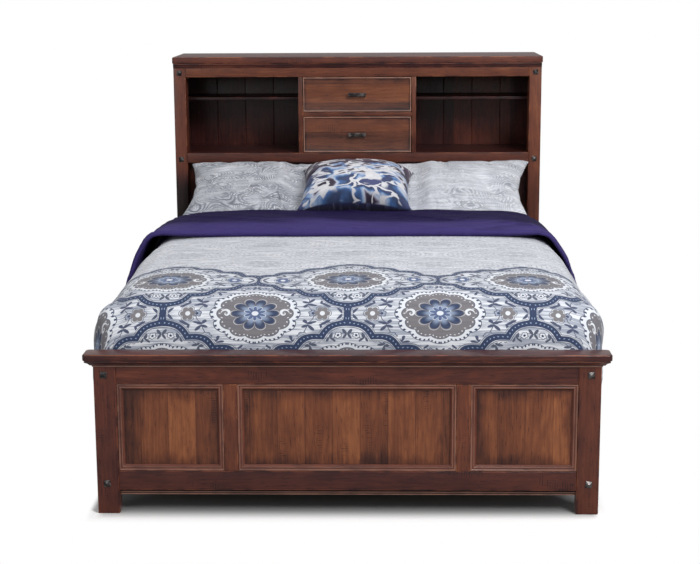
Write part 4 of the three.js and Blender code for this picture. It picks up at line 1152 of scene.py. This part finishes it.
def add_turnback():
    length_along = TURNBACK_HEAD - TURNBACK_FOOT
    scales = np.array([length_along, TURNBACK_ROLL_DROP])

    def row_curve(parameters):
        return np.stack(columns_at(TURNBACK_ROWS, parameters), axis=1) * scales

    along, roll = (row_curve(even_parameters(row_curve, TURNBACK_ROWS)) / scales).T[:, :, None]
    parameters, sides = half_section(TURNBACK_HALF, TURNBACK_SPREAD, TURNBACK_TOP - TURNBACK_HEM)
    over, out, fall, fold_fall, loft = columns_at(TURNBACK_HALF, parameters)
    top = TURNBACK_TOP - TURNBACK_ROLL_DROP * roll
    share = fall + (fold_fall - fall) * along
    closing = 1 - TURNBACK_CLOSING * smoothstep(along, 0.90, 1.0)
    x = MATTRESS_HALF * over + TURNBACK_SPREAD * closing * out
    z = top - share * (top - TURNBACK_HEM)
    flat_x = sides * x
    left_pull = -0.013 + 0.012 * smoothstep(share, 0.45, 0.9)
    right_pull = -0.010 - 0.010 * (1 - smoothstep(share, 0.1, 0.5))
    pulled = smoothstep(x, 0.50, 0.80) * np.where(flat_x < 0, left_pull, right_pull)
    edge_wave = wobble(np.stack([flat_x, 0 * x, z], axis=2), (1, 1, 1), 4.5, 41.0) * 0.007
    y = TURNBACK_FOOT + length_along * along + edge_wave * (1 - smoothstep(along, 0.0, 0.6))
    surface = np.stack([flat_x + pulled, y, z], axis=2)
    swell = wobble(surface, (0.8, 1.5, 0.7), 4.2, 31.0) * 0.0035 + 0.002
    crest = bell(along - TURNBACK_CREST_PLACE, TURNBACK_CREST_REACH)
    swell = swell + TURNBACK_CREST * crest * (1 - smoothstep(out, 0.0, 0.3))
    folds = (wobble(surface, (0.5, 4, 0.5), 1.6, 21.0) + 0.35) * 0.010
    swell = swell + folds * smoothstep(out, 0.3, 0.95)[None, :]
    ridge = 1 - np.abs(wobble(surface @ TURNBACK_SLANT, (1, 1, 1), 3.4, 52.0)) * 3.0
    swell = swell + np.clip(ridge, 0, 1) ** 2 * 0.006
    loft = loft * (1 - np.minimum(1, 2 * roll))
    thickness = TURNBACK_SIDE_THICKNESS + (TURNBACK_LOFT - TURNBACK_SIDE_THICKNESS) * loft
    piece, across, down = quilted_sheet(
        "turned_back_end", surface, swell, thickness, TURNBACK_SEWN_EDGE, False)
    finish_piece(piece, purple_material(), "purple_fabric", "comforter_turnback", 0.3)
    print_flat_size("turned-back end", across, down)
    return piece


# Pillows and cushion

SHAM_FORM = {
    "size": (0.756, 0.442), "crown": 0.066, "under": 0.075, "draw_in": (0.020, 0.002),
    "pleat_depth": 0.0035,
}
SHAM_POUCH = (0.86, 0.54)
SHAM_PRESSURE = 5.0
SHAM_TILT = math.radians(28.4)
SHAM_CLEARANCE = 0.001

# How far each sham lies from the bed's middle, and where the cushion's dent in it ends
SHAM_MIDDLE = 0.386
SHAM_DENT = (0.266, 0.346)

CUSHION_FORM = {
    "size": (0.520, 0.350), "crown": 0.120, "under": 0.060, "draw_in": (0.018, 0.002),
    "pleat_depth": 0.0055, "lip": 0.030, "droop": 0.026,
}
CUSHION_POUCH = (0.58, 0.43)
CUSHION_PRESSURE = 7.0
CUSHION_TILT = math.radians(18.5)
CUSHION_TURN = math.radians(-2)
CUSHION_SAG = 0.021
CUSHION_GAP = 0.0015
ABOVE_THE_BED = 2.0

# The cushion's top is pressed flatter over its last part, to clear the lower drawer
CUSHION_FLATTENED = 0.012
DRAWER_CLEARANCE = 0.0015

POUCH_CELL = 0.012
POUCH_LENS = 0.014
POUCH_UNEVENNESS = 0.003
POUCH_FRAMES = 30
POUCH_CLOTH = {
    "quality": 7, "mass": 0.25, "air_damping": 2, "tension_stiffness": 12,
    "compression_stiffness": 12, "shear_stiffness": 4, "bending_stiffness": 0.3,
    "use_pressure": True,
}
CROWN_POWER = 0.44
CREASE_CELLS = 4
CREASE_GAIN = 1.1
CREASE_LIMIT = 0.011
SEAM_CALM = 0.35
SEAM_REACH = 0.06
EAR = (0.012, 0.003)
CORNERS = ((-1, -1), (1, -1), (1, 1), (-1, 1))
CORNER_REACH = 0.13
PLEATS = 11
PLEAT_PLACE = 0.070
PLEAT_REACH = 0.050


def sewn_pouch(name, width, height, pressure):
    """Two sheets sewn together along their border and blown up, and the grids of the two."""
    columns = round(width / POUCH_CELL) + 1
    rows = round(height / POUCH_CELL) + 1
    u, v = np.meshgrid(np.linspace(-1, 1, columns), np.linspace(-1, 1, rows))
    rise = POUCH_LENS * (1 - u**2) * (1 - v**2)
    x, y = u * width / 2, v * height / 2
    top = np.arange(rows * columns).reshape(rows, columns)
    inner = np.zeros((rows, columns), bool)
    inner[1:-1, 1:-1] = True
    bottom = top.copy()
    bottom[inner] = rows * columns + np.arange(inner.sum())
    points = np.stack([x, y, rise], axis=2).reshape(-1, 3)
    under = np.stack([x, y, -rise], axis=2)[inner]
    points = np.concatenate([points, under])
    faces = [face for i in range(rows - 1) for face in quads(top[i], top[i + 1])]
    faces += [face for i in range(rows - 1) for face in quads(bottom[i + 1], bottom[i])]
    flat = points * np.array([1, 1, 0])
    for point in points:
        point[2] += POUCH_UNEVENNESS * noise.noise(Vector(point) * 14 + Vector((len(name), 0, 0)))
    flat[rows * columns:, 2] = 1
    piece = mesh_piece(name, points, faces, flat)
    inflate(piece, pressure)
    return piece, top, bottom


def keep_result(piece, modifier):
    """Makes what a modifier shows the piece's own mesh, and removes the modifier."""
    graph = bpy.context.evaluated_depsgraph_get()
    mesh = bpy.data.meshes.new_from_object(piece.evaluated_get(graph))
    piece.modifiers.remove(modifier)
    piece.data = mesh


def inflate(piece, pressure):
    """Blows a sewn pouch up as cloth under pressure, and keeps the result as its mesh."""
    cloth = piece.modifiers.new("cloth", "CLOTH")
    for name, value in POUCH_CLOTH.items():
        setattr(cloth.settings, name, value)
    cloth.settings.uniform_pressure_force = pressure
    cloth.settings.effector_weights.gravity = 0
    cloth.point_cache.frame_start = 1
    cloth.point_cache.frame_end = POUCH_FRAMES
    for number in range(1, POUCH_FRAMES + 1):
        bpy.context.scene.frame_set(number)
    keep_result(piece, cloth)
    bpy.context.scene.frame_set(1)


def blurred(grid, spread):
    """A grid of points smoothed over a number of cells, its borders kept in place."""
    reach = 3 * spread
    kernel = np.exp(-0.5 * (np.arange(-reach, reach + 1) / spread) ** 2)
    kernel /= kernel.sum()
    for axis in (0, 1):
        pad = [(0, 0)] * 3
        pad[axis] = (reach, reach)
        padded = np.pad(grid, pad, mode="reflect", reflect_type="odd")
        count = grid.shape[axis]
        grid = sum(
            weight * np.take(padded, range(k, k + count), axis=axis)
            for k, weight in enumerate(kernel))
    return grid


def from_corner(x, y, size, corner):
    """How far points lie from a corner, and in which direction."""
    inward_x = size[0] / 2 - corner[0] * x
    inward_y = size[1] / 2 - corner[1] * y
    return np.hypot(inward_x, inward_y), np.arctan2(inward_y, inward_x)


def furrow(x, y, start, end, width):
    """How deep each point lies in a furrow that fades out at both ends, from 0 to 1."""
    run = np.subtract(end, start)
    share = ((x - start[0]) * run[0] + (y - start[1]) * run[1]) / (run @ run)
    across = np.hypot(x - start[0] - share * run[0], y - start[1] - share * run[1])
    return smoothstep(share, -0.1, 0.3) * smoothstep(-share, -1.1, -0.7) * bell(across, width)


def stuffed(piece, top, bottom, size, crown, under, draw_in, pleat_depth, pulls=(), furrows=(),
            lip=0.0, droop=0.0):
    """The pouch filled out to a crowned form, with the creases that blowing it up has made.

    Its sides and its ends draw in by the two lengths of draw_in between the corners. Pleats fan
    out of the corners, pulls gives shifts of single corners, furrows gives start, end, width and
    depth, lip raises the middle of the front seam and droop lowers its corners.
    """
    width, height = size
    points = np.zeros(len(piece.data.vertices) * 3, np.float32)
    piece.data.vertices.foreach_get("co", points)
    points = points.reshape(-1, 3).astype(float)
    rows, columns = top.shape
    u, v = np.meshgrid(np.linspace(-1, 1, columns), np.linspace(-1, 1, rows))
    corner = np.abs(u * v) ** 10
    x = u * (width / 2 - EAR[0] - draw_in[0] * (1 - v**2) + corner * EAR[0])
    y = v * (height / 2 - EAR[1] - draw_in[1] * (1 - u**2) + corner * EAR[1])
    pleats = 0
    for number, sign in enumerate(CORNERS):
        distance, angle = from_corner(x, y, size, sign)
        fan = np.cos(angle * PLEATS + len(piece.name) + 1.7 * number)
        pleats = pleats + fan * bell(distance - PLEAT_PLACE, PLEAT_REACH)
    for sign, (shift_x, shift_y) in pulls:
        share = bell(from_corner(x, y, size, sign)[0], CORNER_REACH)
        x, y = x + shift_x * share, y + shift_y * share
    rise = ((1 - u**2) * (1 - v**2)) ** CROWN_POWER
    raised = lip * (1 - u**2) * smoothstep(-v, 0.6, 1.0) - droop * u**4 * smoothstep(-v, 0.0, 1.0)
    from_seam = np.minimum((1 - np.abs(u)) * width / 2, (1 - np.abs(v)) * height / 2)
    calm = SEAM_CALM + (1 - SEAM_CALM) * smoothstep(from_seam, 0, SEAM_REACH)
    result = points.copy()
    for grid, lift in ((bottom, -under), (top, crown)):
        creases = points[grid] - blurred(points[grid], CREASE_CELLS)
        depth = np.linalg.norm(creases, axis=2, keepdims=True)
        creases *= CREASE_GAIN * np.minimum(1, CREASE_LIMIT / np.maximum(depth, 1e-6))
        creases *= calm[:, :, None]
        folds = pleats * pleat_depth * smoothstep(from_seam, 0, 0.03)
        if lift > 0:
            for start, end, width_across, depth_down in furrows:
                folds = folds - furrow(x, y, start, end, width_across) * depth_down
        result[grid] = np.stack([x, y, lift * rise + folds + raised], axis=2) + creases
    return result


def seated(points, node, tilt, turn=0.0):
    """Points turned flat and tilted up towards the head, and moved into a node's box.

    Their lowest and foremost ones, and their middle across the bed, match the box.
    """
    matrix = Matrix.Rotation(tilt, 3, "X") @ Matrix.Rotation(turn, 3, "Z")
    points = points @ np.array(matrix).T
    low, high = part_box(node)
    least, most = points.min(axis=0), points.max(axis=0)
    across = (low.x + high.x) / 2 - (least[0] + most[0]) / 2
    return points + np.array([across, low.y - least[1], low.z - least[2]])


def surface_of(*pieces):
    """One tree of all the faces of some pieces, in the frame."""
    vertices, faces = [], []
    for piece in pieces:
        start = len(vertices)
        vertices.extend(vertex.co.copy() for vertex in piece.data.vertices)
        faces.extend([start + k for k in face.vertices] for face in piece.data.polygons)
    return BVHTree.FromPolygons(vertices, faces)


def lifted(points, tree, gap):
    """Raises the points that lie below a surface's top to a gap above it."""
    for point in points:
        hit = tree.ray_cast(Vector((point[0], point[1], ABOVE_THE_BED)), Vector((0, 0, -1)))[0]
        if hit is not None and point[2] < hit.z + gap:
            point[2] = hit.z + gap
    return points


def finish_pillow(piece, points, *finish):
    """Sets the pillow's points, smooths it by one subdivision and finishes it."""
    piece.data.vertices.foreach_set("co", points.astype(np.float32).ravel())
    piece.data.update()
    modifier = piece.modifiers.new("smooth", "SUBSURF")
    modifier.levels = modifier.render_levels = 1
    keep_result(piece, modifier)
    finish_piece(piece, *finish)
    return piece


# For each sham: the side's sign, the print's strength, its level of painted light and its painted
# shade (these paint the left sham darker and the right one lighter), a shift across the bed,
# shifts of corners by their signs, and furrows by start, end, width and depth
SHAMS = {
    "left": (
        -1, (1.0, 0.95, 0.20), -0.012,
        (((-1, -1), (-0.028, -0.002)), ((-1, 1), (-0.006, 0.004)), ((1, 1), (0.0, 0.012))),
        (((-0.372, 0.168), (-0.270, 0.192), 0.008, 0.009),
         ((-0.366, 0.140), (-0.300, 0.060), 0.011, 0.008),
         ((-0.330, -0.150), (-0.180, -0.190), 0.014, 0.008)),
    ),
    "right": (
        1, (0.62, 1.06, 0.0), 0.012,
        (((1, 1), (0.036, 0.020)), ((1, -1), (0.018, -0.012)), ((-1, 1), (0.0, 0.010))),
        (((0.270, 0.196), (0.372, 0.158), 0.009, 0.011),
         ((0.170, 0.010), (0.310, -0.190), 0.017, 0.013),
         ((0.100, 0.120), (0.230, -0.060), 0.016, 0.005)),
    ),
}


def add_sham(side, sign, look, shift, pulls, furrows):
    """A pillow in its sham, pressed thinner where the cushion leans on it."""
    tonal, painted_light_level, shade = look
    material = printed_material(
        f"printed_{side}_sham", 8.0 + sign, tonal, painted_light_level=painted_light_level, shade=shade)
    pouch = sewn_pouch(f"made_{side}_pillow", *SHAM_POUCH, SHAM_PRESSURE)
    points = stuffed(*pouch, **SHAM_FORM, pulls=pulls, furrows=furrows)
    dent = 0.5 + 0.5 * smoothstep(SHAM_MIDDLE + sign * points[:, 0], *SHAM_DENT)
    points[:, 2] *= np.where(points[:, 2] > 0, dent, 1)
    points = seated(points, f"{side}_pillow", SHAM_TILT)
    points[:, 0] += shift
    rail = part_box("headboard_bottom_rail")[0].y - SHAM_CLEARANCE
    points[:, 1] = np.minimum(points[:, 1], rail)
    return finish_pillow(pouch[0], points, material, "printed_fabric", f"{side}_pillow", 0.6)


def add_cushion(below):
    """The cushion, which sinks until its seam lies on the pieces below it."""
    pouch = sewn_pouch("made_throw_cushion", *CUSHION_POUCH, CUSHION_PRESSURE)
    points = stuffed(*pouch, **CUSHION_FORM)
    points = seated(points, "throw_cushion", CUSHION_TILT, CUSHION_TURN)
    points[:, 2] -= CUSHION_SAG
    points = lifted(points, surface_of(*below), CUSHION_GAP)
    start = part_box("lower_drawer_box")[0].z - DRAWER_CLEARANCE - CUSHION_FLATTENED
    over = np.maximum(points[:, 2] - start, 0)
    points[:, 2] += CUSHION_FLATTENED * np.tanh(over / CUSHION_FLATTENED) - over
    finish_pillow(pouch[0], points, blotch_material(), "cushion_fabric", "throw_cushion", 0.8)


# Mattress and foundation

ROUND_STEPS = 10
SIDE_STEPS = 12
SIDE_BULGE = 0.003
TAPE_DEPTH = 0.0022
TAPE_WIDTH = 0.004
TAPE_PLACE = 0.62
BLOCK_INSET = 0.004


def add_block(node, corner, edge, tape):
    """A padded block with rounded edges, and a sewn tape round its top and bottom if asked."""
    low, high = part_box(node)
    tall = high.z - low.z
    angles = [k / ROUND_STEPS * math.pi / 2 for k in range(ROUND_STEPS + 1)]
    rounded = [(edge * (1 - math.sin(a)), edge * (1 - math.cos(a))) for a in angles]
    levels = rounded + [
        (0, edge + (tall - 2 * edge) * k / SIDE_STEPS) for k in range(1, SIDE_STEPS)]
    levels += [(inset, tall - rise) for inset, rise in rounded[::-1]]
    loops = []
    for inset, rise in levels:
        bulge = SIDE_BULGE * math.sin(math.pi * rise / tall)
        seam = TAPE_DEPTH * tape * sum(
            bell(from_edge - edge * TAPE_PLACE, TAPE_WIDTH) for from_edge in (rise, tall - rise))
        out = min(inset - bulge - seam, inset) + BLOCK_INSET
        loops.append(rounded_loop(low, high, corner, out, low.z + rise))
    piece = tube_piece(f"made_{node}", loops)
    finish_piece(piece, ticking_material(), "ticking", node, 0.9)


def rounded_loop(low, high, corner, inset, z):
    """A rounded rectangle at a height, drawn in by an inset."""
    middle_x, middle_y = (low.x + high.x) / 2, (low.y + high.y) / 2
    half_x, half_y = (high.x - low.x) / 2 - inset, (high.y - low.y) / 2 - inset
    radius = max(corner - inset, 0.004)
    points = []
    for quarter, (sx, sy) in enumerate(((1, 1), (-1, 1), (-1, -1), (1, -1))):
        for k in range(ROUND_STEPS + 1):
            angle = (quarter + k / ROUND_STEPS) * math.pi / 2
            x = middle_x + sx * (half_x - radius) + radius * math.cos(angle)
            y = middle_y + sy * (half_y - radius) + radius * math.sin(angle)
            points.append((x, y, z))
    return np.array(points)


# Stage

FLOOR_HALF = 80
FLOOR_LIGHT_GREY = 0.46
FLOOR_SEEN_WHITE = 1.16
FLOOR_BENEATH_SHADE = 0.94
BENEATH_Y = (1.300, 1.185)
BENEATH_X = (0.845, 0.815)
SHADOW_END_Y = 1.25
SHADOW_END_X = 0.85
SHADOW_SIDE_SHARE = 3.0
SHADOW_BACK_SHARE = 0.35
SHADOW_FADE = (0.01, 0.09)
WORLD_LIGHT = 0.27
WORLD_GLOSS = 0.62
WHITE = (1, 1, 1)

# Each lamp: its place, what it points at, its side and its power
LAMPS = {
    "key": ((3.0, -4.6, 4.6), (0, -0.3, 0.6), 2.2, 300),
    "fill": ((-3.4, -4.8, 2.4), (0, 0, 0.7), 2.6, 45),
    "top": ((0.3, 0.5, 5.2), (0, 0, 0.5), 3.6, 75),
}


def ray_field(tree, kind):
    """1 for rays of a kind, and 0 for the others."""
    return Field(tree.nodes.new("ShaderNodeLightPath").outputs[f"Is {kind} Ray"])


def add_stage():
    corners = [(FLOOR_HALF * sx, FLOOR_HALF * sy, 0) for sx, sy in CORNERS]
    floor = mesh_piece("floor", corners, [(0, 1, 2, 3)])
    material, shader = new_material("floor", {"Specular IOR Level": 0.0, "Roughness": 1.0})
    tree = material.node_tree
    seen = ray_field(tree, "Camera")
    x, y, _ = object_place(shader)
    # Painted shadow: the floor that the camera sees under the bed is darkened by
    # FLOOR_BENEATH_SHADE.
    beneath = abs(y).step(*BENEATH_Y) * abs(x).step(*BENEATH_X)
    white = FLOOR_SEEN_WHITE - beneath * FLOOR_BENEATH_SHADE
    shade = mixed(seen, (FLOOR_LIGHT_GREY,) * 3, vector(white, white, white))
    plug(shade, shader.inputs["Base Color"])
    beyond = (y * -1 - SHADOW_END_Y).most((y - SHADOW_END_Y) * SHADOW_BACK_SHARE)
    away = length((abs(x) - SHADOW_END_X).most(0) * SHADOW_SIDE_SHARE, beyond.most(0))
    glow = tree.nodes.new("ShaderNodeEmission")
    plug(WHITE, glow.inputs["Color"])
    blend = new_node("MixShader", away.step(*SHADOW_FADE) * seen, shader.outputs[0],
                     glow.outputs[0])
    plug(blend.outputs[0], tree.nodes["Material Output"].inputs[0])
    floor.data.materials.append(material)


def add_world():
    world = bpy.data.worlds.new("studio")
    bpy.context.scene.world = world
    world.use_nodes = True
    tree = world.node_tree
    background = tree.nodes["Background"]
    camera, glossy, through = (
        ray_field(tree, kind) for kind in ("Camera", "Glossy", "Transmission"))
    seen = camera.most(glossy * WORLD_GLOSS).most(through)
    plug(WHITE, background.inputs["Color"])
    plug(seen * (1 - WORLD_LIGHT) + WORLD_LIGHT, background.inputs["Strength"])


def add_lamp(name, place, target, side, power):
    data = bpy.data.lights.new(name, "AREA")
    data.shape = "RECTANGLE"
    data.size = data.size_y = side
    data.energy = power
    lamp = new_object(name, data)
    lamp.location = place
    lamp.rotation_euler = (Vector(target) - Vector(place)).to_track_quat("-Z", "Y").to_euler()


def add_camera():
    forward = Vector((
        math.sin(CAMERA_YAW) * math.cos(CAMERA_PITCH),
        math.cos(CAMERA_YAW) * math.cos(CAMERA_PITCH),
        -math.sin(CAMERA_PITCH),
    ))
    right = Vector((math.cos(CAMERA_YAW), -math.sin(CAMERA_YAW), 0))
    down = forward.cross(right)
    rolled_right = right * math.cos(CAMERA_ROLL) + down * math.sin(CAMERA_ROLL)
    rolled_down = down * math.cos(CAMERA_ROLL) - right * math.sin(CAMERA_ROLL)
    data = bpy.data.cameras.new("camera")
    data.sensor_fit = "HORIZONTAL"
    data.sensor_width = SENSOR_WIDTH_MM
    data.lens = FOCAL_LENGTH_PIXELS * SENSOR_WIDTH_MM / IMAGE_WIDTH_PIXELS
    data.clip_end = 200
    camera = new_object("camera", data)
    turn = Matrix((rolled_right, -rolled_down, -forward)).transposed()
    camera.matrix_world = Matrix.Translation(CAMERA_PLACE) @ turn.to_4x4()
    bpy.context.scene.camera = camera


add_camera()
add_stage()
add_world()
for _name, _lamp in LAMPS.items():
    add_lamp(_name, *_lamp)
dress_wood()
dress_iron()
add_comforter()
turnback = add_turnback()
shams = [add_sham(_side, *_sham) for _side, _sham in SHAMS.items()]
add_cushion([turnback, *shams])
add_block("mattress", corner=0.090, edge=0.070, tape=True)
add_block("foundation", corner=0.060, edge=0.014, tape=False)
bpy.context.scene.view_settings.view_transform = "Standard"
